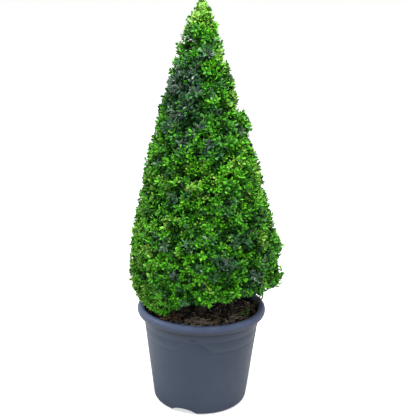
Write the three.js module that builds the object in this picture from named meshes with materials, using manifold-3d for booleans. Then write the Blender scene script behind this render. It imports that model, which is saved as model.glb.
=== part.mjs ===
// A boxwood (Buxus) clipped to a cone, growing in a round plastic nursery container.
//
// Millimetres, +Z up. The origin is the centre of the container's flat underside, on the ground.
// An azimuth is in degrees from the front (-Y), growing towards +X. A station is a height above the ground.
//
// The container holds a plug of compost. A leading stem stands on the compost and runs up the middle.
// Boughs leave it for the foliage of the middle and upper tiers, and basal stems carry the skirt.
// The clipped crown is a shell of foliage round that bare frame: every mass keeps to a sector of one tier.

import * as THREE from "three";
import { mergeVertices } from "three/addons/utils/BufferGeometryUtils.js";
import Module from "manifold-3d";

const wasm = await Module();
wasm.setup();

// ---------------------------------------------------------------- driving dimensions

const GAP = 0.3; // clearance between solids that touch on the real plant
const EPS = 1; // overshoot of a cutter past the face it cuts
const DEG = Math.PI / 180;

const POT = {
  footRadius: 126, // flat underside
  cornerRadius: 14,
  neckRadius: 172, // outside of the wall where the rolled rim begins
  neckHeight: 266,
  wall: 3.5,
  floor: 4,
  rimRadius: 190, // outermost reach of the rolled rim
  rimHeight: 281, // height of the middle of the roll
  rimHalfWidth: 10.5,
  rimHalfHeight: 14,
  rimWall: 3,
  segments: 36,
};
const WALL_FOOT = POT.footRadius + POT.cornerRadius; // wall radius just above the rounded corner

const DRAIN = {
  count: 3, // arched notches in the foot
  firstAzimuth: -20,
  width: 76,
  height: 17,
  innerRadius: 92, // the notch runs in to here
  roof: 3.5,
  holeRadius: 5,
  holeFromAxis: 112,
};

const SOIL = {
  top: 265,
  relief: 3.5, // height of its hummocks
  seatDepth: 2.5, // each stem stands in a flat-bottomed dimple this deep
  seatMargin: 1.2,
  seatSides: 8,
};

const CROWN = {
  tip: 1160,
  // [station, clipped radius]
  outline: [
    [285, 154],
    [330, 195],
    [380, 214],
    [480, 211],
    [580, 189],
    [700, 160],
    [820, 127],
    [940, 92],
    [1060, 54],
    [1130, 33],
    [1160, 10],
  ],
  // [station, shift of the crown's axis along X]: the top leans a little to the left
  lean: [
    [265, 0],
    [330, 7],
    [380, 7],
    [480, 5],
    [600, 2],
    [950, -15],
    [1160, -13],
  ],
  // tufts that escaped the shears: their place, extra reach, and spread in degrees and in millimetres
  tufts: [
    { azimuth: 88, station: 383, extra: 22, spreadDeg: 15, spread: 24 },
    { azimuth: 80, station: 487, extra: 18, spreadDeg: 12, spread: 22 },
    { azimuth: 84, station: 828, extra: 20, spreadDeg: 20, spread: 18 },
    { azimuth: -88, station: 735, extra: 7, spreadDeg: 20, spread: 20 },
    { azimuth: -90, station: 1050, extra: 12, spreadDeg: 30, spread: 16 },
  ],
  // the skirt's lower edge, the lobe at the front left that hangs into the container,
  // and the arch at the front right that bares the rim
  skirtEdge: 341,
  lobeDrop: 52,
  lobeAzimuth: -62,
  lobeHalfWidth: 34,
  archRise: 32,
  archAzimuth: 40,
  archHalfWidth: 48,
};

const LEAF = {
  length: 50,
  width: 25,
  thickness: 3,
  broadest: 0.46, // share of the length where the blade is broadest
  angle: 46, // between the blade and its twig, in degrees
  foot: 6, // how much of the twig's length a leaf's foot is fused to
  apart: 5.5, // least distance between two blades of one mass
  detail: 0.1, // edges shorter than this left by joining are closed up
};

const GROWTH = {
  cell: 7900, // a patch of a mass's face larger than this, in square millimetres, is forked again
  forkDepths: [66, 60, 53, 46, 40], // how far inside the outline each order of fork lies
  tipDepth: 25, // and the tips of the last twigs
  coreDepth: 31, // how far inside the outline the dense core lies
  coreJitter: 8,
  coreFacet: 15, // degrees round the crown that one facet of the core spans
  coreLeast: 14, // least thickness of the core
  twigRadius: 2.4,
  stemRadius: 3.4,
  leastTwig: 23, // a shorter last twig is rooted behind its fork
  whorls: [13, 2], // how far back from a last twig's tip each pair of leaves ends
  margin: 1.2, // nothing comes closer than this to the edge of its mass's space
  limbMargin: 3.5, // nor this close to a limb
  tries: 12, // turns tried for a leaf before it is left out
};

const TRUNK = {
  top: 915,
  // [station, radius]: root flare, bole, tip
  radii: [
    [263, 22],
    [276, 15.5],
    [300, 13],
    [600, 9],
    [915, 4.2],
  ],
  sides: 8,
  steps: 14,
};

// Each tier of the crown, from the ground up. hollow is the radius left bare round the trunk.
const TIERS = [
  {
    name: "skirt",
    low: null, // follows the skirt's lower edge
    high: 472,
    firstEdge: 0,
    sectors: ["front_right", "back_right", "back_left", "front_left"],
    seeds: [16, 27, 47, 61],
    hollow: 124,
    boughRadii: [5.6, 3.8],
  },
  {
    name: "middle",
    low: 472,
    high: 684,
    firstEdge: -62,
    sectors: ["front", "back_right", "back_left"],
    seeds: [61, 88, 85],
    hollow: 92,
    boughRadii: [6.5, 4],
  },
  {
    name: "upper",
    low: 684,
    high: 918,
    firstEdge: -4,
    sectors: ["right", "back", "left"],
    seeds: [104, 97, 109],
    hollow: 46,
    boughRadii: [5, 3.2],
  },
  {
    name: "spire",
    low: 918,
    high: CROWN.tip,
    firstEdge: -180,
    sectors: ["whole"],
    seeds: [129],
    hollow: 0,
    cellShare: 0.9, // its twigs stand closer than the other tiers'
    coreTop: 1084, // above this the twigs stand free and the sky shows between them
  },
];

const SPIRE = {
  heart: 0.4, // share of its height where the stem gives way to the leader
  leaderBelowTip: 52, // the spire's leader ends this far below the crown's tip
  topTwig: 17, // the leafy twig that goes on from it
  topLeaf: 0.75, // size of its leaves as a share of the others
  twist: 47, // degrees that each band of twigs is turned from the one below
  // each band of the spire that forks off the leader: its lower and upper edge as shares of the height
  bands: [
    [0, 0.4],
    [0.4, 0.72],
    [0.72, 0.92],
  ],
};

// Where each basal stem leaves the compost: azimuth and distance from the middle.
const BASAL_FEET = {
  basal_stem_skirt_front_right: [88, 91],
  basal_stem_skirt_back_right: [150, 86],
  basal_stem_skirt_back_left: [-130, 90],
  basal_stem_skirt_front_left: [-58, 106],
};

// Two thin bare shoots that rise from the compost beside the wall, on the right, and bend over the
// container's rim on their way up into the skirt.
const RIM_SHOOTS = [
  {
    name: "rim_shoot_inner",
    foot: [152, 34],
    path: [
      [159, 31, 286],
      [167, 28, 300],
      [175, 24, 306],
      [176, 20, 322],
      [169, 15, 352],
    ],
    radii: [2.8, 1.9],
  },
  {
    name: "rim_shoot_outer",
    foot: [156, 18],
    path: [
      [163, 17, 288],
      [170, 16, 299],
      [179, 14, 303],
      [183, 11, 318],
      [180, 6, 352],
    ],
    radii: [3, 2.1],
  },
];

// A young shoot with its own leaves, on the compost at the front right.
const LOW_SHOOT = {
  foot: [128, -40],
  height: 32,
  radius: 2.2,
  leafSize: 0.5, // as a share of the crown's modelled leaves
  bare: 0.12, // the share of its stalk below the leafy parts
  whorls: [0.85, 1], // how far up its stalk each leafy part ends
  lean: [8, -5],
};

const COLOURS = {
  pot: [0x4d5766, 0.5],
  compost: [0x2a211b, 0.95],
  bark: [0x6b5c48, 0.85],
  foliage: [0x3f8a1e, 0.6],
};

// ---------------------------------------------------------------- small tools

/** A seeded generator of numbers from 0 to 1. */
function generator(seed) {
  let state = seed >>> 0;
  return () => {
    state = (state + 0x6d2b79f5) >>> 0;
    let t = state;
    t = Math.imul(t ^ (t >>> 15), t | 1);
    t ^= t + Math.imul(t ^ (t >>> 7), t | 61);
    return ((t ^ (t >>> 14)) >>> 0) / 4294967296;
  };
}

/** Straight-line interpolation in a table of [x, y] rows, held level past both ends. */
function ramp(table, x) {
  if (x <= table[0][0]) return table[0][1];
  for (let i = 1; i < table.length; i++) {
    const [x0, y0] = table[i - 1];
    const [x1, y1] = table[i];
    if (x <= x1) return y0 + ((y1 - y0) * (x - x0)) / (x1 - x0);
  }
  return table[table.length - 1][1];
}

/** The difference of two azimuths, from -180 to 180 degrees. */
function turn(from, to) {
  return ((((to - from + 180) % 360) + 360) % 360) - 180;
}

const lerp = THREE.MathUtils.lerp;
const outward = (azimuth) => new THREE.Vector3(Math.sin(azimuth * DEG), -Math.cos(azimuth * DEG), 0);

/** A closed geometry as a manifold solid. */
function solid(geometry) {
  const bare = geometry.clone();
  bare.deleteAttribute("normal");
  bare.deleteAttribute("uv");
  const merged = mergeVertices(bare, 1e-3);
  return new wasm.Manifold(
    new wasm.Mesh({
      numProp: 3,
      vertProperties: new Float32Array(merged.attributes.position.array),
      triVerts: new Uint32Array(merged.index.array),
    }),
  );
}

/** A manifold solid as a flat-shaded geometry. */
function geometryOf(shape) {
  const mesh = shape.getMesh();
  const points = new Float32Array(mesh.numVert * 3);
  for (let i = 0; i < mesh.numVert; i++)
    points.set(mesh.vertProperties.subarray(i * mesh.numProp, i * mesh.numProp + 3), i * 3);
  const indexed = new THREE.BufferGeometry();
  indexed.setAttribute("position", new THREE.BufferAttribute(points, 3));
  indexed.setIndex(new THREE.BufferAttribute(new Uint32Array(mesh.triVerts), 1));
  const geometry = indexed.toNonIndexed();
  geometry.computeVertexNormals();
  return geometry;
}

/** The largest connected body of a solid, without loose scraps and sealed hollows. */
function largestBody(shape) {
  return shape.decompose().reduce((a, b) => (b.volume() > a.volume() ? b : a));
}

/**
 * A closed skin over a row of rings with equal counts of points.
 * Its caps are fans, or strips where a ring is a band.
 */
function loft(rings, bandCaps = false) {
  const n = rings[0].length;
  const positions = rings.flat().flatMap((p) => [p.x, p.y, p.z]);
  const index = [];
  for (let i = 0; i + 1 < rings.length; i++)
    for (let j = 0; j < n; j++) {
      const [a, b] = [i * n + j, i * n + ((j + 1) % n)];
      index.push(a, b, b + n, a, b + n, a + n);
    }
  const last = (rings.length - 1) * n;
  const cap = (a, b, c) => {
    index.push(a, c, b);
    index.push(last + a, last + b, last + c);
  };
  if (bandCaps)
    for (let j = 0; j + 1 < n / 2; j++) {
      cap(j, j + 1, n - 2 - j);
      cap(j, n - 2 - j, n - 1 - j);
    }
  else for (let j = 1; j + 1 < n; j++) cap(0, j, j + 1);
  const geometry = new THREE.BufferGeometry();
  geometry.setAttribute("position", new THREE.Float32BufferAttribute(positions, 3));
  geometry.setIndex(index);
  const made = solid(geometry);
  if (made.volume() >= 0) return made;
  for (let i = 0; i < index.length; i += 3) [index[i + 1], index[i + 2]] = [index[i + 2], index[i + 1]];
  geometry.setIndex(index);
  return solid(geometry);
}

const lathe = (profile, segments) =>
  solid(
    new THREE.LatheGeometry(
      profile.map(([r, z]) => new THREE.Vector2(r, z)),
      segments,
    ).rotateX(Math.PI / 2),
  );

/** Points of an elliptical arc in a lathe profile, from one angle to another. */
function arc(centreR, centreZ, halfWidth, halfHeight, from, to, steps) {
  const points = [];
  for (let i = 0; i <= steps; i++) {
    const angle = lerp(from, to, i / steps) * DEG;
    points.push([centreR + halfWidth * Math.cos(angle), centreZ + halfHeight * Math.sin(angle)]);
  }
  return points;
}

// ---------------------------------------------------------------- limbs

const LEVEL = [new THREE.Vector3(1, 0, 0), new THREE.Vector3(0, 1, 0)];

/**
 * A tapering limb along a smooth curve: its solid, and what grows on from its tip.
 * startPlane gives the two directions its first cut lies in, where that is not square to the curve.
 */
function limb({ name, points, radii, sides, steps = 8, grown = 0, startPlane = null }) {
  const curve = points.length > 2 ? new THREE.CatmullRomCurve3(points) : new THREE.LineCurve3(...points);
  const frames = curve.computeFrenetFrames(steps, false);
  const radiusAt = (t) => ramp(radii, t) + grown;
  const centres = [];
  const rings = [];
  for (let i = 0; i <= steps; i++) {
    const t = i / steps;
    const centre = curve.getPointAt(t);
    const [across, along] = i === 0 && startPlane ? startPlane : [frames.normals[i], frames.binormals[i]];
    const ring = [];
    for (let k = 0; k < sides; k++) {
      const angle = (k / sides) * 2 * Math.PI;
      ring.push(
        centre
          .clone()
          .addScaledVector(across, radiusAt(t) * Math.cos(angle))
          .addScaledVector(along, radiusAt(t) * Math.sin(angle)),
      );
    }
    centres.push(centre);
    rings.push(ring);
  }
  return {
    name,
    solid: loft(rings),
    centres,
    radiusAt,
    tip: centres[steps],
    direction: frames.tangents[steps].clone(),
    tipPlane: [frames.normals[steps], frames.binormals[steps]],
    tipRadius: radiusAt(1),
  };
}

/** How far a point lies outside a limb's bark. */
function clearOfLimb(point, { centres, radiusAt }) {
  let nearest = Infinity;
  const line = new THREE.Line3();
  const foot = new THREE.Vector3();
  for (let i = 0; i + 1 < centres.length; i++) {
    line.set(centres[i], centres[i + 1]);
    const share = line.closestPointToPointParameter(point, true);
    line.at(share, foot);
    nearest = Math.min(nearest, foot.distanceTo(point) - radiusAt((i + share) / (centres.length - 1)));
  }
  return nearest;
}

// ---------------------------------------------------------------- the container and the compost

/** Outside of the container's wall at a height. */
const wallRadius = (z) =>
  lerp(WALL_FOOT, POT.neckRadius, (z - POT.cornerRadius) / (POT.neckHeight - POT.cornerRadius));

function potOutside() {
  return [
    [0, 0],
    ...arc(POT.footRadius, POT.cornerRadius, POT.cornerRadius, POT.cornerRadius, -90, 0, 3),
    [POT.neckRadius, POT.neckHeight],
  ];
}

/** The container's inside, or the compost's outside where inset is the clearance between them. */
function potInside(top, inset) {
  const skin = POT.wall + inset;
  return [
    [0, POT.floor + inset],
    ...arc(
      POT.footRadius,
      POT.cornerRadius + POT.floor / 2,
      POT.cornerRadius - skin,
      POT.cornerRadius - POT.floor / 2 - inset,
      -90,
      0,
      2,
    ),
    [wallRadius(top) - skin, top],
  ];
}

/** An arched bar lying along a radius, from innerRadius out past the wall, grown by margin. */
function archBar(azimuth, margin) {
  const halfWidth = DRAIN.width / 2 + margin;
  const height = DRAIN.height + margin;
  const outline = new THREE.Shape();
  outline.moveTo(halfWidth, -EPS);
  outline.absellipse(0, 0, halfWidth, height, 0, Math.PI, false, 0);
  outline.lineTo(-halfWidth, -EPS);
  const start = DRAIN.innerRadius - margin;
  const bar = new THREE.ExtrudeGeometry(outline, {
    depth: POT.rimRadius - start,
    bevelEnabled: false,
    curveSegments: 7,
  });
  const radial = outward(azimuth);
  const tangent = new THREE.Vector3(-radial.y, radial.x, 0);
  bar.translate(0, 0, start);
  bar.applyMatrix4(new THREE.Matrix4().makeBasis(tangent, new THREE.Vector3(0, 0, 1), radial));
  return solid(bar);
}

const drainAzimuths = Array.from(
  { length: DRAIN.count },
  (_, i) => DRAIN.firstAzimuth + (360 / DRAIN.count) * i,
);

function pot() {
  const roll = [POT.rimRadius - POT.rimHalfWidth, POT.rimHeight];
  const inner = [POT.rimHalfWidth - POT.rimWall, POT.rimHalfHeight - POT.rimWall];
  let shape = lathe(
    [
      ...potOutside(),
      ...arc(...roll, ...inner, 160, -50, 3), // underside of the rolled rim
      ...arc(...roll, POT.rimHalfWidth, POT.rimHalfHeight, -50, 180, 5), // top of the rolled rim
      ...potInside(POT.neckHeight, 0).reverse(),
    ],
    POT.segments,
  );
  const outside = lathe([...potOutside(), [0, POT.neckHeight]], POT.segments);
  for (const azimuth of drainAzimuths) {
    const hole = new THREE.CylinderGeometry(DRAIN.holeRadius, DRAIN.holeRadius, 4 * DRAIN.height, 6)
      .rotateX(Math.PI / 2)
      .translate(...outward(azimuth).multiplyScalar(DRAIN.holeFromAxis).toArray());
    shape = shape
      .add(archBar(azimuth, DRAIN.roof).intersect(outside))
      .subtract(archBar(azimuth, 0))
      .subtract(solid(hole));
  }
  return shape;
}

/** Height of the compost's hummocks above its mean level. */
function hummock(x, y) {
  const long = 0.5 * Math.sin(x / 31 + 1.3) * Math.cos(y / 27 - 0.4);
  const short = 0.35 * Math.sin((x + y) / 17) + 0.25 * Math.cos((x - 2 * y) / 23);
  return SOIL.relief * (long + short);
}
const soilHeight = (x, y) => SOIL.top + hummock(x, y);
const seatHeight = (x, y) => soilHeight(x, y) - SOIL.seatDepth;

function compost(standing) {
  const side = potInside(SOIL.top, GAP);
  const rim = side[side.length - 1][0];
  const rings = [0.74, 0.4, 0];
  const geometry = new THREE.LatheGeometry(
    [...side, ...rings.map((share) => [rim * share, SOIL.top])].map(([r, z]) => new THREE.Vector2(r, z)),
    POT.segments,
  ).rotateX(Math.PI / 2);
  const at = geometry.attributes.position;
  for (let i = 0; i < at.count; i++) {
    const inland = Math.hypot(at.getX(i), at.getY(i)) < rim - EPS;
    if (inland && at.getZ(i) > SOIL.top - EPS) at.setZ(i, soilHeight(at.getX(i), at.getY(i)));
  }
  let shape = solid(geometry);
  for (const azimuth of drainAzimuths) shape = shape.subtract(archBar(azimuth, DRAIN.roof + GAP));
  for (const { centres, radiusAt } of standing) {
    const foot = centres[0];
    const radius = (radiusAt(0) + SOIL.seatMargin) / Math.cos(Math.PI / SOIL.seatSides);
    const dimple = new THREE.CylinderGeometry(radius, radius, 60, SOIL.seatSides)
      .rotateX(Math.PI / 2)
      .translate(foot.x, foot.y, foot.z - GAP + 30);
    shape = shape.subtract(solid(dimple));
  }
  return shape;
}

// ---------------------------------------------------------------- the crown's form

const leanAt = (z) => ramp(CROWN.lean, z);

/** The clipped outline: how far the foliage reaches from the crown's axis. */
function reach(azimuth, z) {
  let radius = ramp(CROWN.outline, z);
  for (const tuft of CROWN.tufts) {
    const sideways = turn(tuft.azimuth, azimuth) / tuft.spreadDeg;
    const up = (z - tuft.station) / tuft.spread;
    radius += tuft.extra * Math.exp(-(sideways ** 2) - up ** 2);
  }
  return radius;
}

function skirtEdge(azimuth) {
  const fromLobe = turn(CROWN.lobeAzimuth, azimuth) / CROWN.lobeHalfWidth;
  const fromArch = turn(CROWN.archAzimuth, azimuth) / CROWN.archHalfWidth;
  const lobe = CROWN.lobeDrop * Math.exp(-(fromLobe ** 4));
  const arch = CROWN.archRise * Math.exp(-(fromArch ** 2));
  return CROWN.skirtEdge - lobe + arch;
}

const crownPoint = (azimuth, z, radius) =>
  outward(azimuth)
    .multiplyScalar(radius)
    .add(new THREE.Vector3(leanAt(z), 0, z));

/** A point's azimuth, station and distance from the crown's axis. */
function crownPlace(point) {
  const x = point.x - leanAt(point.z);
  return { azimuth: Math.atan2(x, -point.y) / DEG, z: point.z, radius: Math.hypot(x, point.y) };
}

/** The name of the limb that carries a mass. */
function boughName(tier, sector) {
  if (tier.sectors.length === 1) return "trunk";
  return `${tier.low ? "bough" : "basal_stem"}_${tier.name}_${sector}`;
}

/** The spaces of the masses: one for each sector of each tier. */
function massSpaces() {
  return TIERS.flatMap((tier) =>
    tier.sectors.map((sector, i) => {
      const width = 360 / tier.sectors.length;
      const from = tier.firstEdge + width * i;
      return {
        name: tier.sectors.length > 1 ? `foliage_${tier.name}_${sector}` : `foliage_${tier.name}`,
        bough: boughName(tier, sector),
        tier,
        seed: tier.seeds[i],
        from,
        width,
        low: (azimuth) => tier.low ?? skirtEdge(azimuth),
        high: tier.high,
      };
    }),
  );
}

/** Whether every point keeps to the mass's space, clear of the limbs and the container. */
function fits(points, space, limbs) {
  const inPot = points.every((p) => Math.hypot(p.x, p.y) < POT.neckRadius - POT.wall - 5);
  const overPot = points.every((p) => p.z > POT.rimHeight + POT.rimHalfHeight + GROWTH.margin);
  if (!inPot && !overPot) return false;
  return points.every((p) => {
    const { azimuth, z, radius } = crownPlace(p);
    const fromEdge = space.width / 2 - Math.abs(turn(space.from + space.width / 2, azimuth));
    const inSector = space.width === 360 || radius * Math.sin(Math.min(90, fromEdge) * DEG) > GROWTH.margin;
    const aboveFloor = z > (space.tier.low ?? soilHeight(p.x, p.y)) + GROWTH.margin;
    const underRoof = z < space.high + (space.high === CROWN.tip ? 4 : -GROWTH.margin);
    const inOutline = radius < reach(azimuth, z) + 7;
    const clear = () => limbs.every((one) => clearOfLimb(p, one) > GROWTH.limbMargin);
    return inSector && aboveFloor && underRoof && inOutline && clear();
  });
}

// ---------------------------------------------------------------- foliage

/**
 * A spray: a three-sided twig with leaves drawn out of its sides, as one closed skin.
 * Each leaf is { whorl, side, direction, length, width }; a whorl is a pair of stations along the twig.
 */
function spraySolid({ from, along, length, radii, whorls, leaves }) {
  const helper = Math.abs(along.z) < 0.9 ? new THREE.Vector3(0, 0, 1) : new THREE.Vector3(1, 0, 0);
  const across = new THREE.Vector3().crossVectors(helper, along).normalize();
  const upward = new THREE.Vector3().crossVectors(along, across);
  const stations = [0, ...whorls.flat()];
  const points = [];
  for (const station of stations)
    for (let side = 0; side < 3; side++) {
      const radius = lerp(radii[0], radii[1], station / length);
      const angle = (side * 2 * Math.PI) / 3;
      points.push(
        from
          .clone()
          .addScaledVector(along, station)
          .addScaledVector(across, radius * Math.cos(angle))
          .addScaledVector(upward, radius * Math.sin(angle)),
      );
    }
  const faces = [[0, 2, 1]];
  for (let i = 0; i + 1 < stations.length; i++)
    for (let side = 0; side < 3; side++) {
      const [a, b] = [3 * i + side, 3 * i + ((side + 1) % 3)];
      const [c, d] = [b + 3, a + 3];
      const leaf = leaves.find((one) => 2 * one.whorl + 1 === i && one.side === side);
      if (!leaf) {
        faces.push([a, b, c], [a, c, d]);
        continue;
      }
      const [left, right, ridge, tip] = [0, 1, 2, 3].map((k) => points.length + k);
      points.push(...leaf.blade);
      faces.push([a, b, right], [a, right, left], [b, c, right], [c, ridge, right]);
      faces.push([c, d, ridge], [d, left, ridge], [d, a, left]);
      faces.push([left, right, tip], [right, ridge, tip], [ridge, left, tip]);
    }
  const top = 3 * (stations.length - 1);
  faces.push([top, top + 1, top + 2]);
  const geometry = new THREE.BufferGeometry();
  const flat = points.flatMap((p) => [p.x, p.y, p.z]);
  geometry.setAttribute("position", new THREE.Float32BufferAttribute(flat, 3));
  geometry.setIndex(faces.flat());
  return solid(geometry);
}

/** The corners of a blade: left edge, right edge, ridge over the midrib, tip. */
function bladeCorners(foot, direction, along, length, width) {
  const across = new THREE.Vector3().crossVectors(along, direction).normalize();
  const upper = new THREE.Vector3().crossVectors(direction, across).normalize();
  const middle = foot.clone().addScaledVector(direction, length * LEAF.broadest);
  return [
    middle.clone().addScaledVector(across, -width / 2),
    middle.clone().addScaledVector(across, width / 2),
    middle.clone().addScaledVector(upper, LEAF.thickness),
    foot.clone().addScaledVector(direction, length),
  ];
}

/** Points along a blade that two blades are kept apart by. */
function bladeSamples(foot, [left, right, , tip]) {
  const middle = left.clone().lerp(right, 0.5);
  return [middle, left, right, tip, middle.clone().lerp(tip, 0.5), foot.clone().lerp(middle, 0.6)];
}

/** A leafy last twig. A leaf that would cross another or leave its space is turned, and at last left out. */
function leafyTwig({ fork, to, along, size, random, fitting, blades }) {
  const twig = to.clone().sub(fork).normalize();
  const length = Math.max(fork.distanceTo(to), GROWTH.leastTwig);
  const from = to.clone().addScaledVector(twig, -length);
  const whorls = GROWTH.whorls.map((back) => [length - back - LEAF.foot, length - back]);
  const helper = Math.abs(twig.z) < 0.9 ? new THREE.Vector3(0, 0, 1) : new THREE.Vector3(1, 0, 0);
  const across = new THREE.Vector3().crossVectors(helper, twig).normalize();
  const first = Math.floor(random() * 3);
  const leaves = [];
  whorls.forEach(([low, high], whorl) => {
    for (const step of [0, 1]) {
      const side = (first + whorl + step) % 3;
      const outwards = across.clone().applyAxisAngle(twig, ((side + 0.5) * 2 * Math.PI) / 3);
      const foot = from
        .clone()
        .addScaledVector(twig, (low + high) / 2)
        .addScaledVector(outwards, GROWTH.twigRadius / 2);
      for (let attempt = 0; attempt < GROWTH.tries; attempt++) {
        const sway = (random() - 0.5) * (0.5 + 0.14 * attempt);
        const angle = (LEAF.angle + (random() - 0.5) * (24 + 4 * attempt)) * DEG;
        const direction = outwards
          .clone()
          .applyAxisAngle(twig, sway)
          .multiplyScalar(Math.sin(angle))
          .addScaledVector(along, Math.cos(angle))
          .normalize();
        const grown = size * (0.9 + 0.2 * random() - 0.02 * attempt);
        const blade = bladeCorners(foot, direction, twig, LEAF.length * grown, LEAF.width * grown);
        const samples = bladeSamples(foot, blade);
        const near = (p) => samples.some((q) => p.distanceTo(q) < LEAF.apart);
        const crossing = blades.some((other) => other.twig !== from && other.samples.some(near));
        if (crossing || !fitting(samples)) continue;
        leaves.push({ whorl, side, blade });
        blades.push({ twig: from, samples });
        break;
      }
    }
  });
  const radii = [GROWTH.twigRadius, GROWTH.twigRadius * 0.6];
  return spraySolid({ from, along: twig, length, radii, whorls, leaves });
}

/** A three-sided twig from one fork to the next, sunk back into the fork it leaves. */
function twigSolid(from, to, radius, tipShare) {
  const back = from.clone().addScaledVector(to.clone().sub(from).normalize(), -radius * 0.6);
  return limb({
    points: [back, to],
    radii: [
      [0, radius],
      [1, radius * tipShare],
    ],
    sides: 3,
    steps: 1,
  }).solid;
}

/** Points along a straight twig. */
const along4 = (from, to) => [0.25, 0.5, 0.75, 1].map((t) => from.clone().lerp(to, t));

/** The breadth of a cell round the crown and its height, in millimetres. */
function cellSize(cell) {
  const middle = (cell.from + cell.to) / 2;
  const [bottom, top] = [cell.zAt(middle, 0), cell.zAt(middle, 1)];
  return { breadth: (cell.to - cell.from) * DEG * reach(middle, (bottom + top) / 2), tall: top - bottom };
}

/** A place near a cell's middle for its fork or the tip of its twig: the point and its azimuth. */
function nodeOf({ space, random }, cell, depth) {
  const azimuth = lerp(cell.from, cell.to, 0.5 + (random() - 0.5) * 0.3);
  const station = cell.zAt(azimuth, 0.5 + (random() - 0.5) * 0.3);
  const radius = Math.max(space.tier.hollow + 8, reach(azimuth, station) - depth);
  return [crownPoint(azimuth, station, radius), azimuth];
}

/**
 * The branching rule. A cell is a patch of the mass's outer face. A twig runs to a fork near the middle of
 * its cell. The cell is halved across its longer side, and each half gets a twig of the next order.
 */
function grow(mass, fork, cell, order) {
  const { random, fitting, pieces } = mass;
  const { breadth, tall } = cellSize(cell);
  const last = breadth * tall < GROWTH.cell * (mass.space.tier.cellShare ?? 1);
  const depth = last ? GROWTH.tipDepth : GROWTH.forkDepths[Math.min(order, GROWTH.forkDepths.length - 1)];
  let [node, azimuth] = nodeOf(mass, cell, depth);
  for (let attempt = 1; !fitting(along4(fork, node)); attempt++) {
    if (attempt === GROWTH.tries) return;
    [node, azimuth] = nodeOf(mass, cell, depth);
  }
  if (last) {
    const along = node.clone().sub(fork).normalize().add(outward(azimuth).multiplyScalar(0.6)).normalize();
    pieces.push(leafyTwig({ fork, to: node, along, size: 1, ...mass }));
    return;
  }
  pieces.push(twigSolid(fork, node, GROWTH.twigRadius * (1 + 0.25 * Math.max(0, 4 - order)), 0.8));
  const cut = 0.5 + (random() - 0.5) * 0.16;
  for (const half of halves(cell, cut, breadth > tall)) grow(mass, node, half, order + 1);
}

/** A cell halved at a share of its breadth or of its height. */
function halves(cell, cut, acrossBreadth) {
  if (acrossBreadth) {
    const edge = lerp(cell.from, cell.to, cut);
    return [
      { ...cell, to: edge },
      { ...cell, from: edge },
    ];
  }
  return [
    { ...cell, zAt: (azimuth, share) => cell.zAt(azimuth, share * cut) },
    { ...cell, zAt: (azimuth, share) => cell.zAt(azimuth, cut + share * (1 - cut)) },
  ];
}

/** The dense inside of a mass: a sector of a shell, or the whole cone of the spire. */
function core(space, random) {
  const { tier } = space;
  const inset = GROWTH.margin;
  const layers = 5;
  const jitter = () => (random() - 0.5) * 2 * GROWTH.coreJitter;
  const outerRadius = (azimuth, z) => Math.max(6, reach(azimuth, z) - GROWTH.coreDepth + jitter());
  if (tier.hollow === 0) {
    const sides = 10;
    const rings = [];
    for (let i = 0; i <= layers; i++) {
      const z = lerp(tier.low + inset, tier.coreTop, i / layers);
      const ring = [];
      for (let k = 0; k < sides; k++) {
        const azimuth = (360 * k) / sides;
        ring.push(crownPoint(azimuth, z, outerRadius(azimuth, z)));
      }
      rings.push(ring);
    }
    return loft(rings);
  }
  const steps = Math.round(space.width / GROWTH.coreFacet);
  const rings = [];
  for (let i = 0; i <= steps; i++) {
    const ring = [];
    const innerSide = [];
    for (let j = 0; j < layers; j++) {
      const middle = space.from + space.width / 2;
      const share = j / (layers - 1);
      const bare = lerp(space.from, space.from + space.width, i / steps);
      const lowest = space.low(bare) + (tier.low ? inset : GROWTH.coreDepth * 0.6);
      const z = lerp(lowest, space.high - inset, share);
      const radius = Math.max(outerRadius(bare, z), tier.hollow + GROWTH.coreLeast);
      const squeeze = (r) => middle + (bare - middle) * (1 - inset / (r * space.width * DEG * 0.5));
      ring.push(crownPoint(squeeze(radius), z, radius));
      innerSide.unshift(crownPoint(squeeze(tier.hollow), z, tier.hollow));
    }
    rings.push([...ring, ...innerSide]);
  }
  return loft(rings, true);
}

/** One mass of foliage: the stem that goes on from its bough, the core, and the twigs and leaves round it. */
function foliage(space, carrier, limbs) {
  const random = generator(space.seed);
  const cell = {
    from: space.from,
    to: space.from + space.width,
    zAt: (azimuth, share) => lerp(space.low(azimuth) + 4, space.high, share),
  };
  const start = carrier.tip.clone().addScaledVector(carrier.direction, GAP);
  const heart = heartOf(space, cell);
  const stem = limb({
    points: [start, start.clone().addScaledVector(carrier.direction, 8), heart],
    radii: [
      [0, carrier.tipRadius],
      [1, GROWTH.stemRadius],
    ],
    sides: 6,
    steps: 4,
    startPlane: carrier.tipPlane,
  });
  const pieces = [stem.solid, core(space, random)];
  const mass = { space, random, pieces, blades: [], fitting: (points) => fits(points, space, limbs) };
  if (space.tier.hollow) grow(mass, stem.tip, cell, 0);
  else growSpire(mass, stem.tip, cell);
  return largestBody(wasm.Manifold.union(pieces).simplify(LEAF.detail));
}

/** The point in the dense part of a mass where its stem first forks. */
function heartOf(space, cell) {
  if (space.tier.hollow === 0) return crownPoint(0, lerp(space.tier.low, CROWN.tip, SPIRE.heart), 0);
  const middle = (cell.from + cell.to) / 2;
  const station = cell.zAt(middle, 0.5);
  return crownPoint(middle, station, space.tier.hollow + GROWTH.coreLeast / 2);
}

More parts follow.
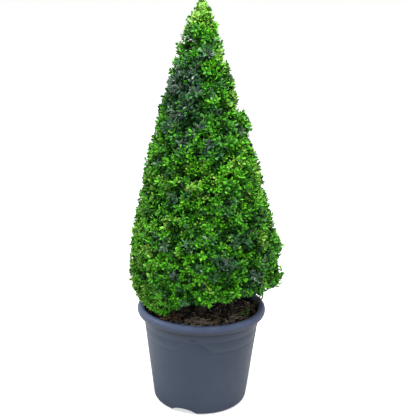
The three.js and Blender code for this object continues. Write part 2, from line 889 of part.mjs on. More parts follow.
/** The spire forks off its leader in bands, each in halves by the same rule; the leader ends in leaves. */
function growSpire(mass, heart, cell) {
  const leader = crownPoint(0, CROWN.tip - SPIRE.leaderBelowTip, 0);
  mass.pieces.push(twigSolid(heart, leader, GROWTH.stemRadius, 0.5));
  SPIRE.bands.forEach(([low, high], i) => {
    const [bottom, top] = [low, high].map((share) => cell.zAt(0, share));
    const fork = crownPoint(0, Math.min(bottom, leader.z - 12), 0);
    for (const half of [0, 1]) {
      const from = -180 + 180 * half + SPIRE.twist * i;
      grow(mass, fork, { from, to: from + 180, zAt: (_, share) => lerp(bottom, top, share) }, 2);
    }
  });
  const up = new THREE.Vector3(0, 0, 1);
  const to = leader.clone().addScaledVector(up, SPIRE.topTwig);
  mass.pieces.push(leafyTwig({ fork: leader, to, along: up, size: SPIRE.topLeaf, ...mass }));
}

function lowShoot() {
  const [x, y] = LOW_SHOOT.foot;
  const foot = new THREE.Vector3(x, y, seatHeight(x, y) + GAP);
  const head = foot.clone().add(new THREE.Vector3(...LOW_SHOOT.lean, LOW_SHOOT.height));
  const stalk = limb({
    name: "low_shoot",
    points: [foot, head],
    radii: [
      [0, LOW_SHOOT.radius],
      [1, LOW_SHOOT.radius],
    ],
    sides: 6,
    steps: 2,
    startPlane: LEVEL,
  });
  const random = generator(77);
  const fitting = (points) => points.every((p) => p.z > SOIL.top + 5);
  const spray = { size: LOW_SHOOT.leafSize, along: stalk.direction, random, fitting, blades: [] };
  const fork = foot.clone().lerp(head, LOW_SHOOT.bare);
  const pieces = LOW_SHOOT.whorls.map((t) =>
    leafyTwig({ fork, to: foot.clone().lerp(head, t), ...spray }),
  );
  const whole = wasm.Manifold.union([stalk.solid, ...pieces]).simplify(LEAF.detail);
  return { ...stalk, solid: largestBody(whole) };
}

// ---------------------------------------------------------------- the frame of limbs

function makeTrunk(grown = 0) {
  const foot = seatHeight(0, 0) + GAP;
  const stations = [0, 0.12, 0.35, 0.6, 0.8, 1].map((t) => lerp(foot, TRUNK.top, t));
  const length = TRUNK.top - foot;
  return limb({
    name: "trunk",
    points: stations.map((z) => new THREE.Vector3(leanAt(z), 5 * Math.sin(z / 130), z)),
    radii: TRUNK.radii.map(([z, r]) => [Math.max(0, (z - foot) / length), r]),
    sides: TRUNK.sides,
    steps: TRUNK.steps,
    grown,
    startPlane: LEVEL,
  });
}

/** A basal stem from the compost, or a bough from the trunk, to the bare side of its mass. */
function carrierOf(space, trunk, trunkClearance) {
  const { tier } = space;
  const middle = space.from + space.width / 2;
  const station = lerp(space.low(middle), space.high, tier.low ? 0.45 : 0.3);
  const head = crownPoint(middle, station, tier.hollow - 8);
  const radii = [
    [0, tier.boughRadii[0]],
    [1, tier.boughRadii[1]],
  ];
  if (!tier.low) {
    const [azimuth, fromAxis] = BASAL_FEET[space.bough];
    const [x, y] = outward(azimuth).multiplyScalar(fromAxis).toArray();
    const foot = new THREE.Vector3(x, y, seatHeight(x, y) + GAP);
    const knee = foot.clone().lerp(head, 0.5).add(outward(middle).multiplyScalar(-5));
    const points = [foot, knee, head];
    return limb({ name: space.bough, points, radii, sides: 6, steps: 5, startPlane: LEVEL });
  }
  const rootStation = tier.low - 62;
  const root = new THREE.Vector3(leanAt(rootStation), 5 * Math.sin(rootStation / 130), rootStation);
  const knee = root.clone().lerp(head, 0.5).add(new THREE.Vector3(0, 0, -16));
  const bough = limb({ name: space.bough, points: [root, knee, head], radii, sides: 6, steps: 5 });
  return { ...bough, solid: largestBody(bough.solid.subtract(trunkClearance)) };
}

function rimShoot({ name, foot: [x, y], path, radii }) {
  const foot = new THREE.Vector3(x, y, seatHeight(x, y) + GAP);
  return limb({
    name,
    points: [foot, ...path.map((place) => new THREE.Vector3(...place))],
    radii: [
      [0, radii[0]],
      [1, radii[1]],
    ],
    sides: 6,
    steps: 9,
    startPlane: LEVEL,
  });
}

// ---------------------------------------------------------------- assembly

const topiary = new THREE.Group();
topiary.name = "boxwood_cone_topiary";

function addNode(name, shape, look) {
  const [color, roughness] = COLOURS[look];
  const material = new THREE.MeshStandardMaterial({ color, roughness, metalness: 0 });
  const mesh = new THREE.Mesh(geometryOf(shape), material);
  mesh.name = name;
  topiary.add(mesh);
}

const trunk = makeTrunk();
const trunkClearance = makeTrunk(GAP).solid;
const spaces = massSpaces();
const carriers = new Map([["trunk", trunk]]);
for (const space of spaces)
  if (!carriers.has(space.bough)) carriers.set(space.bough, carrierOf(space, trunk, trunkClearance));
const shoots = RIM_SHOOTS.map(rimShoot);
const limbs = [...carriers.values(), ...shoots];
const young = lowShoot();
const basalStems = [...carriers.values()].filter((one) => one.name.startsWith("basal"));
const standing = [trunk, young, ...shoots, ...basalStems];

addNode("pot", pot(), "pot");
addNode("compost", compost(standing), "compost");
for (const one of limbs) addNode(one.name, one.solid, "bark");
addNode(young.name, young.solid, "foliage");
for (const space of spaces)
  addNode(space.name, foliage(space, carriers.get(space.bough), [...limbs, young]), "foliage");

export default topiary;
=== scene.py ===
"""A boxwood clipped to a cone, in a nursery pot: the looks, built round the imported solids.

Sizes are in millimetres, as in the solids' source, and become metres where meshes are made.
An azimuth is in degrees from the front (-Y), growing towards +X. A station is a height above the ground.
"""

import math
import random
from collections import namedtuple

import bpy
import numpy as np
from mathutils import Matrix, Vector


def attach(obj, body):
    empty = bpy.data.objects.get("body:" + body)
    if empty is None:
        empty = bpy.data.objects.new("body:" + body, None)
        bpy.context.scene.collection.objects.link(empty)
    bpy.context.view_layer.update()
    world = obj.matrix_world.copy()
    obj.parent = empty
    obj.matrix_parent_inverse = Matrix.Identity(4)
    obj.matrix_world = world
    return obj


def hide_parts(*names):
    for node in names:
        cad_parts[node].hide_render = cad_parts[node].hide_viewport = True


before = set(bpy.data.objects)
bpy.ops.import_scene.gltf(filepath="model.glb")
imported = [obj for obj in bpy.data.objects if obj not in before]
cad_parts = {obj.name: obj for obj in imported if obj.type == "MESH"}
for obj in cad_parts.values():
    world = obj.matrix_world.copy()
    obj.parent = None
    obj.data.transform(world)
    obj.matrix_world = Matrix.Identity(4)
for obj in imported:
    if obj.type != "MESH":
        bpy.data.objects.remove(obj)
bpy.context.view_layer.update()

MM = 0.001
DEG = math.pi / 180

# ---------- sizes shared with the solids

POT_FOOT_RADIUS = 126
POT_CORNER_RADIUS = 14
POT_NECK_RADIUS = 172
POT_NECK_HEIGHT = 266
POT_WALL = 3.5
POT_FLOOR = 4
RIM_RADIUS = 190
RIM_HEIGHT = 281
RIM_HALF_WIDTH = 10.5
RIM_HALF_HEIGHT = 14
RIM_WALL = 3
POT_SEGMENTS = 144

# arched notches in the foot, each with a hole through its roof
DRAIN_AZIMUTHS = (-20, 100, 220)
DRAIN_WIDTH = 76
DRAIN_HEIGHT = 17
DRAIN_INNER_RADIUS = 92
DRAIN_ROOF = 3.5
HOLE_RADIUS = 5
HOLE_FROM_AXIS = 112
CUT_REACH = 200  # from the axis, past the wall
# a rod from under the floor to above a notch's roof, which cuts its hole
DRILL_PROFILE = ((0, -5), (HOLE_RADIUS, -5), (HOLE_RADIUS, 34), (0, 34))

# two grooves round the wall under the rim
LOWER_GROOVE = 205
UPPER_GROOVE = 239
GROOVE_HALF_WIDTH = 1.0
GROOVE_DEPTH = 0.32
# tabs on the upper groove; the lower one rises to each in an arch
TAB_AZIMUTH = -6
TAB_APART = 90
TAB_WIDTH = 22
TAB_HEIGHTS = (235.5, 247)
TAB_RELIEF = 0.7
TAB_BEVEL = 0.8
ARCH_HEIGHT = 32
ARCH_TOP = 4  # degrees from a tab's middle to where the groove falls
ARCH_SLOPE = 18  # degrees over which it falls

SOIL_TOP = 265
SOIL_RELIEF = 3.5  # height of its hummocks
SEAT_DEPTH = 2.5  # of the dimple that each stem stands in

CROWN_TIP = 1160
# station, clipped radius
OUTLINE = np.array([
    (285, 154), (330, 195), (380, 214), (480, 211), (580, 189), (700, 160),
    (820, 127), (940, 92), (1060, 54), (1130, 33), (1160, 10),
], float)
# station, shift of the crown's axis along X
LEAN = np.array([(265, 0), (330, 7), (380, 7), (480, 5), (600, 2), (950, -15), (1160, -13)], float)
# where the clipped face stands out in a tuft, or falls back: how far, azimuth, station, half-widths in
# degrees and in millimetres
TUFTS = (
    (22, 88, 383, 15, 24), (18, 80, 487, 12, 22), (20, 84, 828, 20, 18), (7, -88, 735, 20, 20),
    (12, -90, 1050, 30, 16), (-9, 90, 1010, 40, 30),
)
# the skirt's lower edge, with a lobe that hangs over the rim at the left and an arch at the right
SKIRT_EDGE = 341
LOBE_DROP = 52
LOBE_AZIMUTH = -62
LOBE_HALF_WIDTH = 34
OPENING_RISE = 32
OPENING_AZIMUTH = 40
OPENING_HALF_WIDTH = 48

TRUNK_TOP = 915
TRUNK_RADII = [(263, 22), (276, 15.5), (300, 13), (600, 9), (915, 4.2)]
TRUNK_SWAY = 5
TRUNK_SWAY_LENGTH = 130
# azimuth of each basal stem's foot, and its distance from the axis
BASAL_FEET = {
    "front_right": (88, 91), "back_right": (150, 86), "back_left": (-130, 90), "front_left": (-58, 106),
}
BASAL_BOW = 5
BASAL_HEAD = 0.45  # where a limb ends, as a share of its mass's height
BOUGH_HEAD = 0.3
BOUGH_DROP = 62  # from a mass's lower edge to its bough's root
BOUGH_SAG = 16
HEAD_INSIDE = 8  # how far inside a mass its limb ends
# the foot on the compost, the places it passes through and its radii
RIM_SHOOTS = {
    "rim_shoot_inner": (
        (152, 34),
        ((159, 31, 286), (167, 28, 300), (175, 24, 306), (176, 20, 322), (169, 15, 352)),
        (2.8, 1.9),
    ),
    "rim_shoot_outer": (
        (156, 18),
        ((163, 17, 288), (170, 16, 299), (179, 14, 303), (183, 11, 318), (180, 6, 352)),
        (3, 2.1),
    ),
}
LOW_SHOOT_FOOT = (128, -40)
LOW_SHOOT_HEIGHT = 32
LOW_SHOOT_LEAN = (8, -5)
LOW_SHOOT_RADII = (1.4, 0.9)

# each tier of the crown: name, lower edge (None follows the skirt's), upper edge, first azimuth, sectors,
# radius left bare inside, radii of its limbs, and the size of its cells
TIERS = (
    ("skirt", None, 472, 0, ("front_right", "back_right", "back_left", "front_left"), 124, (5.6, 3.8), 1),
    ("middle", 472, 684, -62, ("front", "back_right", "back_left"), 92, (6.5, 4), 1),
    ("upper", 684, 918, -4, ("right", "back", "left"), 46, (5, 3.2), 1),
    ("spire", 918, CROWN_TIP, -180, ("whole",), 0, (4.2, 3.4), 0.9),
)
LEADER_BELOW_TIP = 52
SPIRE_TWIST = 47  # degrees from one band's halves to the next's
SPIRE_BANDS = ((0, 0.4), (0.4, 0.72), (0.72, 0.92))

# steps along each kind of limb, sides round it, and its bark's relief
TRUNK_MESH = (89, 28, 0.05)
BOUGH_MESH = (30, 16, 0.05)
SHOOT_MESH = (24, 10, 0.06)
BARK_WAVES = (2, 3, 5, 8)  # ridges round a limb
BARK_DRIFT = 0.03  # how fast they wind round it, in radians a millimetre

# ---------- the finer growth

SEED = 20731
EDGE_MARGIN = 4  # from a mass's lower edge to its lowest growth
FINE_CELL = 560  # square millimetres of a mass's face for each spray
CELL_JITTER = 0.5  # share of a cell in which its fork may lie
CUT_JITTER = 0.16
FORK_DEPTHS = (66, 60, 53, 46, 43, 41, 39, 38, 37)  # inside the clipped face, fork by fork
SPRAY_DEPTHS = (-8, 21)
SPRAY_LIFT = (6, 26)
SAG = (0.08, 0.27)  # of a shoot below its chord, as a share of its length
SIDE_SHOOTS = 3
SIDE_ROOTS = (0.12, 0.62)
SIDE_TURN = 2.4  # radians from one to the next
SIDE_ANGLE = (28, 50)
SIDE_RISE = 0.25
SIDE_LENGTH = (0.38, 0.66)  # as a share of the main shoot
SIDE_LEAFY = 0.8  # share of a side shoot that carries leaves
# shoots on the inner twigs, with larger and fewer leaves, to close the crown's inside
INNER_SHOOTS = 2
INNER_LENGTH = (22, 40)
INNER_TOP = 985  # above it the sky shows between the sprays
INNER_LEAF_SIZE = 1.4
INNER_SPACING = 6.6
LEAF_TOP = 1166
PATCH_WAVES = 14
PATCH_LENGTHS = (40, 120)
# how new the growth is all over, how much newer and lighter at the tip, partly new growth and partly a
# painted glow of light through the thin leaves there, and how it varies
NEWNESS = 0.52
TIP_NEWNESS_AND_GLOW = 0.34
PATCH_SHARE = 0.1
SPRAY_SHARE = 0.12
SIDE_SHARE = 0.05
MAIN_NEWER = 0.04
# where more of the growth is new than elsewhere, or less, given as the tufts are; the dip at azimuth 75,
# station 350, at the skirt's lower right edge, is painted shade, with darker leaves where shade falls
GROWTH_AND_SHADE_PLACES = (
    (-0.32, -38, 900, 56, 130), (0.22, 88, 870, 34, 170), (0.2, -88, 470, 40, 190),
    (-0.3, 75, 350, 28, 26), (0.2, 58, 958, 24, 30), (-0.14, 18, 985, 22, 36), (-0.1, 26, 888, 20, 26),
    (0.14, -4, 720, 22, 45), (-0.2, 14, 775, 14, 26), (-0.24, 42, 455, 15, 42), (-0.12, 5, 480, 14, 70),
    (0.2, 76, 540, 14, 30), (0.16, 84, 400, 16, 24), (0.14, 28, 385, 10, 20), (0.12, -50, 330, 30, 40),
    (0.2, 84, 660, 24, 60), (-0.12, 48, 700, 14, 26), (-0.1, 8, 612, 12, 34), (-0.12, 34, 425, 12, 20),
    (0.12, -84, 770, 24, 90),
)
# where the crown is thin enough to let sky through
THIN_PLACES = (
    (0.5, -95, 1035, 60, 45), (0.35, -95, 925, 45, 45), (0.55, -60, 1065, 75, 60),
    (0.2, 60, 1065, 140, 60), (0.5, 90, 850, 26, 35), (0.4, 85, 430, 22, 40),
)
TWIG_RADIUS = 0.8
TWIG_THICKER = 0.42  # for each fork nearer to the limb than the sixth
GREEN_VIGOUR = 0.4
LIMB_MARGIN = 2.0  # from a leaf to a limb's bark

LEAF_LENGTH = 15.2
LEAF_WIDTH = 0.5  # as a share of the length
LEAF_SIZES = (0.8, 1.2)
GROWN_SIZES = (1.2, 0.95)  # of old leaves and of new ones
PAIR_SPACING = 5.2
YOUNG_PAIRS = 3.2  # pairs back from the tip over which leaves are young
YOUNG_SMALLER = 0.36
OLDER_INSIDE = 0.16  # how much less vigour the leaves further back have
LEAF_ANGLE = 64  # degrees from the shoot
YOUNG_ANGLE_LESS = 36
ANGLE_SPREAD = 11
TURN_SPREAD = 0.28  # in radians
TWIST_SPREAD = 0.25
MOST_LEAVES = 16000  # in one piece
# rows across a blade: how far along it, half its width, the heights of its edges and of its middle
LEAF_ROWS = ((0.24, 0.37, -0.02, 0.035), (0.54, 0.5, -0.035, 0.05), (0.82, 0.31, -0.06, 0.015))
INNER_LEAF_ROWS = ((0.36, 0.46, -0.03, 0.04), (0.74, 0.42, -0.05, 0.03))
LEAF_TIP = (1.0, 0, -0.04)

# from the oldest leaves to the newest: name, most vigour, colour, gloss, roughness; the vigour also holds
# painted shade and a painted glow, so the kinds carry them too
LEAF_KINDS = (
    ("leaves_deep", 0.14, (0.024, 0.061, 0.039), 0.38, 0.42),
    ("leaves_old", 0.30, (0.019, 0.090, 0.022), 0.26, 0.44),
    ("leaves_mid", 0.46, (0.025, 0.154, 0.005), 0.15, 0.46),
    ("leaves_fresh", 0.66, (0.055, 0.250, 0.006), 0.12, 0.5),
    ("leaves_new", math.inf, (0.130, 0.300, 0.036), 0.12, 0.52),
)
# the inner leaves, darker than any outer kind, partly painted shade inside the crown
INNER_LEAF_AND_SHADE_LOOK = ((0.009, 0.046, 0.008), 0.14, 0.5)
# a kind's leaves from the darkest on: share of them up to here, and shares of the kind's colour
LEAF_SHADES = ((0, 0.68, 0.68, 0.68), (0.45, 1, 1, 1), (0.8, 1.18, 1.18, 1.18), (1, 1.3, 1.08, 1))
UNDERSIDE_COLOUR = (0.06, 0.15, 0.02)
UNDERSIDE_SHARE = 0.35
UNDERSIDE_ROUGHNESS = 0.75

# a darker and a lighter shade of each surface
# the limbs' bark is darker, partly painted shade for the stems under the skirt and at the rim
BARK_AND_PAINTED_SHADE = ((0.030, 0.025, 0.017), (0.12, 0.095, 0.065))
WOODY_SHADES = ((0.06, 0.035, 0.02), (0.22, 0.14, 0.085))
GREEN_SHADES = ((0.03, 0.07, 0.01), (0.09, 0.16, 0.03))
STALK_SHADES = ((0.04, 0.09, 0.01), (0.09, 0.17, 0.03))
POT_WALL_SHADES = ((0.018, 0.029, 0.053), (0.024, 0.036, 0.063))
# the heights between which the pot turns to painted shade under the rim, to painted shade on the lip's lower
# part, and to a painted highlight and sky reflection along its crest
POT_PAINTED_LIGHT_BANDS = (
    (253, 264, ((0.010, 0.015, 0.023), (0.013, 0.019, 0.029))),
    (271, 276, ((0.017, 0.025, 0.047), (0.022, 0.031, 0.055))),
    (RIM_HEIGHT - RIM_HALF_HEIGHT / 3, 295, ((0.072, 0.097, 0.178), (0.092, 0.119, 0.210))),
)

COMPOST_SHADES = ((0.010, 0.008, 0.007), (0.06, 0.048, 0.04))
CRUMBS = 3400
# most crumbs are dark, a few pale
CRUMB_SHADES = (
    (0.0, (0.010, 0.008, 0.007)), (0.6, (0.048, 0.037, 0.033)),
    (0.9, (0.165, 0.125, 0.10)), (1.0, (0.62, 0.52, 0.42)),
)
STRAW_REACH = 163  # from the pot's axis
STRAW_LIFT = (4, 14)
STRAW_RADII = (1.05, 0.5)
# bits on the compost: piece, its two shades, and its tufts: place, spread, count, lengths
STRAWS = (
    ("straw_pale", ((0.50, 0.39, 0.26), (0.85, 0.72, 0.54)), (
        ((0, 0), 90, 30, (14, 38)), ((-9, -98), 15, 36, (16, 46)), ((22, -110), 18, 14, (12, 30)),
        ((146, 40), 8, 16, (8, 24)), ((84, -80), 16, 12, (6, 16)), ((112, -66), 16, 14, (8, 20)),
    )),
    ("straw_tan", ((0.38, 0.18, 0.07), (0.66, 0.37, 0.17)), (
        ((-88, -66), 14, 24, (14, 38)), ((20, -90), 44, 20, (10, 26)), ((100, 10), 34, 18, (10, 30)),
    )),
    ("green_bits", ((0.20, 0.27, 0.15), (0.44, 0.50, 0.36)), (
        ((-42, -120), 5, 9, (6, 12)), ((60, -90), 30, 5, (5, 9)),
    )),
)

# faces of a three-sided twig, a box and an eight-sided crumb
TWIG_FACES = np.array([
    (0, 1, 4), (0, 4, 3), (1, 2, 5), (1, 5, 4), (2, 0, 3), (2, 3, 5), (3, 4, 5), (0, 2, 1),
])
BOX_FACES = ((4, 5, 6, 7), (0, 3, 2, 1), (0, 1, 5, 4), (1, 2, 6, 5), (2, 3, 7, 6), (3, 0, 4, 7))
CRUMB_FACES = np.array([
    (0, 2, 4), (2, 1, 4), (1, 3, 4), (3, 0, 4), (2, 0, 5), (1, 2, 5), (3, 1, 5), (0, 3, 5),
])
CRUMB_CORNERS = np.array([(1, 0, 0), (-1, 0, 0), (0, 1, 0), (0, -1, 0), (0, 0, 1), (0, 0, -1)], float)

# ---------- camera and lamps, in metres

CAMERA_PLACE = (0.0122, -2.0, 1.086)
CAMERA_TILT = 14.04  # degrees below level
CAMERA_ROLL = 1.14
CAMERA_LENS = 62.06
# name, place, target, size, power, colour
LAMPS = (
    ("overhead", (0.25, -0.6, 2.6), (0, 0, 0.75), 0.9, 116, (1, 0.98, 0.94)),
    ("left", (-1.9, -0.1, 1.6), (0, 0, 0.6), 1.2, 32, (0.96, 0.98, 1)),
)
SKY_COLOUR = (0.95, 0.98, 1, 1)
SKY_STRENGTH = 0.84
FLOOR_HALF = 60000  # in millimetres
FLOOR_SHADES = ((0.7, 0.7, 0.7), (0.73, 0.73, 0.73))
FLOOR_GLOW = (0.2, 0.62)  # towards the plant, and as the camera sees it

# ---------- small tools


def lerp(a, b, t):
    return a + (b - a) * t


def ramp(table, x):
    """Reads a table of places and values at x."""
    table = np.asarray(table, float)
    return np.interp(x, table[:, 0], table[:, 1])


def turn(start, end):
    """The difference of two azimuths, from -180 to 180 degrees."""
    return (end - start + 180) % 360 - 180


def outward(azimuth):
    """The level direction of an azimuth."""
    azimuth = np.asarray(azimuth, float) * DEG
    return np.stack([np.sin(azimuth), -np.cos(azimuth), np.zeros_like(azimuth)], -1)


def joined(rows):
    """Joins rows of arrays column by column."""
    return [np.concatenate(parts) for parts in zip(*rows)]


def beside(azimuth, out, across, z):
    """A point so far out along an azimuth, so far to one side of that, and so high."""
    radial = outward(azimuth)
    return radial * out + np.array([-radial[1], radial[0], 0]) * across + np.array([0, 0, z])


def unit(v):
    return v / np.maximum(np.linalg.norm(v, axis=-1, keepdims=True), 1e-9)


def humps(base, places, azimuth, z):
    """Adds a smooth hump at each place of a table to a base value."""
    for height, middle, station, around, up in places:
        base = base + height * np.exp(-(turn(middle, azimuth) / around) ** 2 - ((z - station) / up) ** 2)
    return base


def reach(azimuth, z):
    """How far the clipped foliage reaches from the crown's axis."""
    return humps(ramp(OUTLINE, z), TUFTS, azimuth, z)


def skirt_edge(azimuth):
    lobe = np.exp(-(turn(LOBE_AZIMUTH, azimuth) / LOBE_HALF_WIDTH) ** 4)
    opening = np.exp(-(turn(OPENING_AZIMUTH, azimuth) / OPENING_HALF_WIDTH) ** 2)
    return SKIRT_EDGE - LOBE_DROP * lobe + OPENING_RISE * opening


def crown_point(azimuth, z, radius):
    """A point at a distance from the crown's leaning axis."""
    out = outward(azimuth)
    x = out[..., 0] * radius + ramp(LEAN, z)
    y = out[..., 1] * radius
    return np.stack([x, y, np.broadcast_to(z, x.shape)], -1)


def soil(x, y):
    """The height of the compost's surface."""
    waves = 0.5 * np.sin(x / 31 + 1.3) * np.cos(y / 27 - 0.4)
    waves += 0.35 * np.sin((x + y) / 17)
    waves += 0.25 * np.cos((x - 2 * y) / 23)
    return SOIL_TOP + SOIL_RELIEF * waves


def wall_radius(z):
    """Outside radius of the pot's wall."""
    up = (z - POT_CORNER_RADIUS) / (POT_NECK_HEIGHT - POT_CORNER_RADIUS)
    return lerp(POT_FOOT_RADIUS + POT_CORNER_RADIUS, POT_NECK_RADIUS, up)


def mesh_piece(name, shape, material, replaces=(), smooth=True):
    """A piece from points in millimetres and faces of one size."""
    points, faces = shape
    mesh = bpy.data.meshes.new(name)
    mesh.from_pydata(np.asarray(points, np.float32) * MM, [], np.asarray(faces, np.int32))
    mesh.polygons.foreach_set("use_smooth", np.full(len(faces), smooth))
    mesh.materials.append(material)
    settle(add(name, mesh), replaces)


def add(name, data):
    """A new object in the scene."""
    made = bpy.data.objects.new(name, data)
    bpy.context.scene.collection.objects.link(made)
    return made


def settle(piece, replaces=()):
    """Rides a piece on the plant's body, in place of the solids it stands for."""
    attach(piece, "root")
    if replaces:
        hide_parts(*replaces)


# ---------- materials


def fill(node, sockets):
    for name, value in sockets.items():
        node.inputs[name.replace("_", " ")].default_value = value
    return node


class Look:
    """A node material, built up a node at a time."""

    def __init__(self, name, **sockets):
        self.material = bpy.data.materials.new(name)
        self.material.use_nodes = True
        self.tree = self.material.node_tree
        self.shader = fill(self.tree.nodes["Principled BSDF"], sockets)

    def node(self, kind, **sockets):
        return fill(self.tree.nodes.new("ShaderNode" + kind), sockets)

    def link(self, source, target):
        self.tree.links.new(source, target)

    def paint(self, colour):
        self.link(colour, self.shader.inputs["Base Color"])

    def noise(self, scale, detail=4.0, rough=0.6, stretch=(1, 1, 1)):
        place = self.node("TexCoord")
        mapping = self.node("Mapping", Scale=stretch)
        texture = self.node("TexNoise", Scale=scale, Detail=detail, Roughness=rough)
        self.link(place.outputs["Object"], mapping.inputs["Vector"])
        self.link(mapping.outputs["Vector"], texture.inputs["Vector"])
        return texture.outputs["Fac"]

    def ramp(self, source, stops):
        made = self.node("ValToRGB")
        elements = made.color_ramp.elements
        while len(elements) < len(stops):
            elements.new(0.5)
        for element, (position, colour) in zip(elements, stops):
            element.position = position
            element.color = (*colour, 1)
        self.link(source, made.inputs["Fac"])
        return made.outputs["Color"]

    def between(self, source, shades, low, high):
        """The darker shade up to low, the lighter one from high."""
        return self.ramp(source, ((low, shades[0]), (high, shades[1])))

    def dealt(self, stops):
        """A colour for each loose bit of a mesh, by chance."""
        return self.ramp(self.node("NewGeometry").outputs["Random Per Island"], stops)

    def mix(self, factor, a, b):
        made = self.node("Mix")
        made.data_type = "RGBA"
        for source, target in ((factor, "Factor"), (a, "A"), (b, "B")):
            if isinstance(source, tuple):
                made.inputs[target].default_value = (*source, 1)
            else:
                self.link(source, made.inputs[target])
        return made.outputs["Result"]

    def span(self, source, low, high, start=0.0, end=1.0):
        """Takes what runs from start to end, and makes it run from low to high."""
        made = self.node("MapRange", From_Min=start, From_Max=end, To_Min=low, To_Max=high)
        self.link(source, made.inputs["Value"])
        return made.outputs["Result"]

    def bump(self, source, strength, distance):
        made = self.node("Bump", Strength=strength, Distance=distance)
        self.link(source, made.inputs["Height"])
        self.link(made.outputs["Normal"], self.shader.inputs["Normal"])


def leaf_look(name, colour, gloss, roughness):
    """Waxy leaves, some lighter and some darker, all paler and duller underneath."""
    look = Look(name, Specular_IOR_Level=gloss)
    back = look.node("NewGeometry").outputs["Backfacing"]
    stops = [(share, tuple(c * by for c, by in zip(colour, shade))) for share, *shade in LEAF_SHADES]
    under = tuple(lerp(c, p, UNDERSIDE_SHARE) for c, p in zip(colour, UNDERSIDE_COLOUR))
    look.paint(look.mix(back, look.dealt(stops), under))
    look.link(look.span(back, roughness, UNDERSIDE_ROUGHNESS), look.shader.inputs["Roughness"])
    return look.material


def mottled_look(name, shades, edges, roughness, grain, relief=None):
    """A surface mottled in two shades, with the relief of the same noise if any."""
    look = Look(name, Roughness=roughness)
    noise = look.noise(*grain)
    look.paint(look.between(noise, shades, *edges))
    if relief:
        look.bump(noise, *relief)
    return look.material


def bark_look(name, shades, scale):
    return mottled_look(name, shades, (0.3, 0.62), 0.85, (scale, 6.0, 0.65, (1, 1, 0.25)), (0.5, 0.0008))


def dull_look(name, shades, scale):
    return mottled_look(name, shades, (0.35, 0.65), 0.6, (scale,))


def pot_look():
    """Grey-blue plastic, faintly mottled, with painted shade under the rim and on the lip's lower part, and
    a painted highlight along its crest.
    """
    look = Look("pot_plastic", Specular_IOR_Level=0.25)
    cloud = look.noise(9, 5.0, 0.6)
    apart = look.node("SeparateXYZ")
    look.link(look.node("TexCoord").outputs["Object"], apart.inputs["Vector"])
    colour = look.between(cloud, POT_WALL_SHADES, 0.3, 0.7)
    # bands of painted shade under the rim and on the lip's lower part, then a painted highlight and sky
    # reflection on the crest
    for low, high, shades in POT_PAINTED_LIGHT_BANDS:
        height = look.span(apart.outputs["Z"], 0, 1, low * MM, high * MM)
        colour = look.mix(height, colour, look.between(cloud, shades, 0.3, 0.7))
    look.paint(colour)
    look.link(look.span(look.noise(60, 3.0), 0.42, 0.58), look.shader.inputs["Roughness"])
    look.bump(look.noise(900, 2.0), 0.06, 0.0003)
    return look.material


# ---------- limbs with the bark's relief


def tube_faces(rings, sides):
    """Quads between rings of points, and fans that close both ends round two more."""
    i, j = np.meshgrid(np.arange(rings - 1), np.arange(sides), indexing="ij")
    a, b = i * sides + j, i * sides + (j + 1) % sides
    quads = np.stack([a, b, b + sides, a + sides], -1).reshape(-1, 4)
    foot, last = rings * sides, (rings - 1) * sides
    fans = [(foot, (k + 1) % sides, k) for k in range(sides)]
    fans += [(foot + 1, last + k, last + (k + 1) % sides) for k in range(sides)]
    return quads, fans


def curve_points(points, steps):
    """A smooth curve through a few points, evenly stepped."""
    points = np.asarray(points, float)
    if len(points) == 2:
        return lerp(points[0], points[1], np.linspace(0, 1, steps + 1)[:, None])
    ends = np.vstack([2 * points[0] - points[1], points, 2 * points[-1] - points[-2]])
    fine = []
    for i in range(len(points) - 1):
        a, b, c, d = ends[i:i + 4]
        t = np.linspace(0, 1, 12, endpoint=False)[:, None]
        square = (2 * a - 5 * b + 4 * c - d) * t ** 2
        cube = (3 * b - a - 3 * c + d) * t ** 3
        fine.append(0.5 * (2 * b + (c - a) * t + square + cube))
    fine = np.vstack(fine + [points[-1:]])
    along = np.concatenate([[0], np.cumsum(np.linalg.norm(np.diff(fine, axis=0), axis=1))])
    even = np.linspace(0, along[-1], steps + 1)
    return np.stack([np.interp(even, along, fine[:, k]) for k in range(3)], -1)


def limb_mesh(centres, radii, sides, relief, rng):
    """A closed tapering limb with ridged bark."""
    steps = len(centres)
    tangent = unit(np.gradient(centres, axis=0))
    helper = np.where(np.abs(tangent[:, 2:3]) < 0.9, (0.0, 0.0, 1.0), (1.0, 0.0, 0.0))
    if abs(tangent[:, 2]).min() < 0.9 < abs(tangent[:, 2]).max():
        helper = np.tile((0.13, 0.97, 0.2), (steps, 1))
    across = unit(np.cross(helper, tangent))
    over = np.cross(tangent, across)
    angle = np.linspace(0, 2 * math.pi, sides, endpoint=False)
    ridges = np.ones((steps, sides))
    climb = np.linalg.norm(np.diff(centres, axis=0, prepend=centres[:1]), axis=1).cumsum()[:, None]
    for wave in BARK_WAVES:
        phase = rng.uniform(0, 2 * math.pi)
        drift = rng.uniform(-BARK_DRIFT, BARK_DRIFT)
        ridges += relief / wave ** 0.5 * np.sin(wave * angle[None] + phase + drift * climb)
    ridges += relief * 0.5 * rng.standard_normal((steps, sides))
    size = (radii[:, None] * ridges)[..., None]
    ring = across[:, None] * np.cos(angle)[None, :, None] + over[:, None] * np.sin(angle)[None, :, None]
    points = (centres[:, None] + ring * size).reshape(-1, 3)
    quads, fans = tube_faces(steps, sides)
    points = np.vstack([points, centres[:1], centres[-1:]])
    return points, np.vstack([quads[:, [0, 1, 2]], quads[:, [0, 2, 3]], fans])


def trunk_centre(z):
    return np.array([ramp(LEAN, z), TRUNK_SWAY * math.sin(z / TRUNK_SWAY_LENGTH), z])


Mass = namedtuple("Mass", "node carrier sector low high start end hollow radii share")


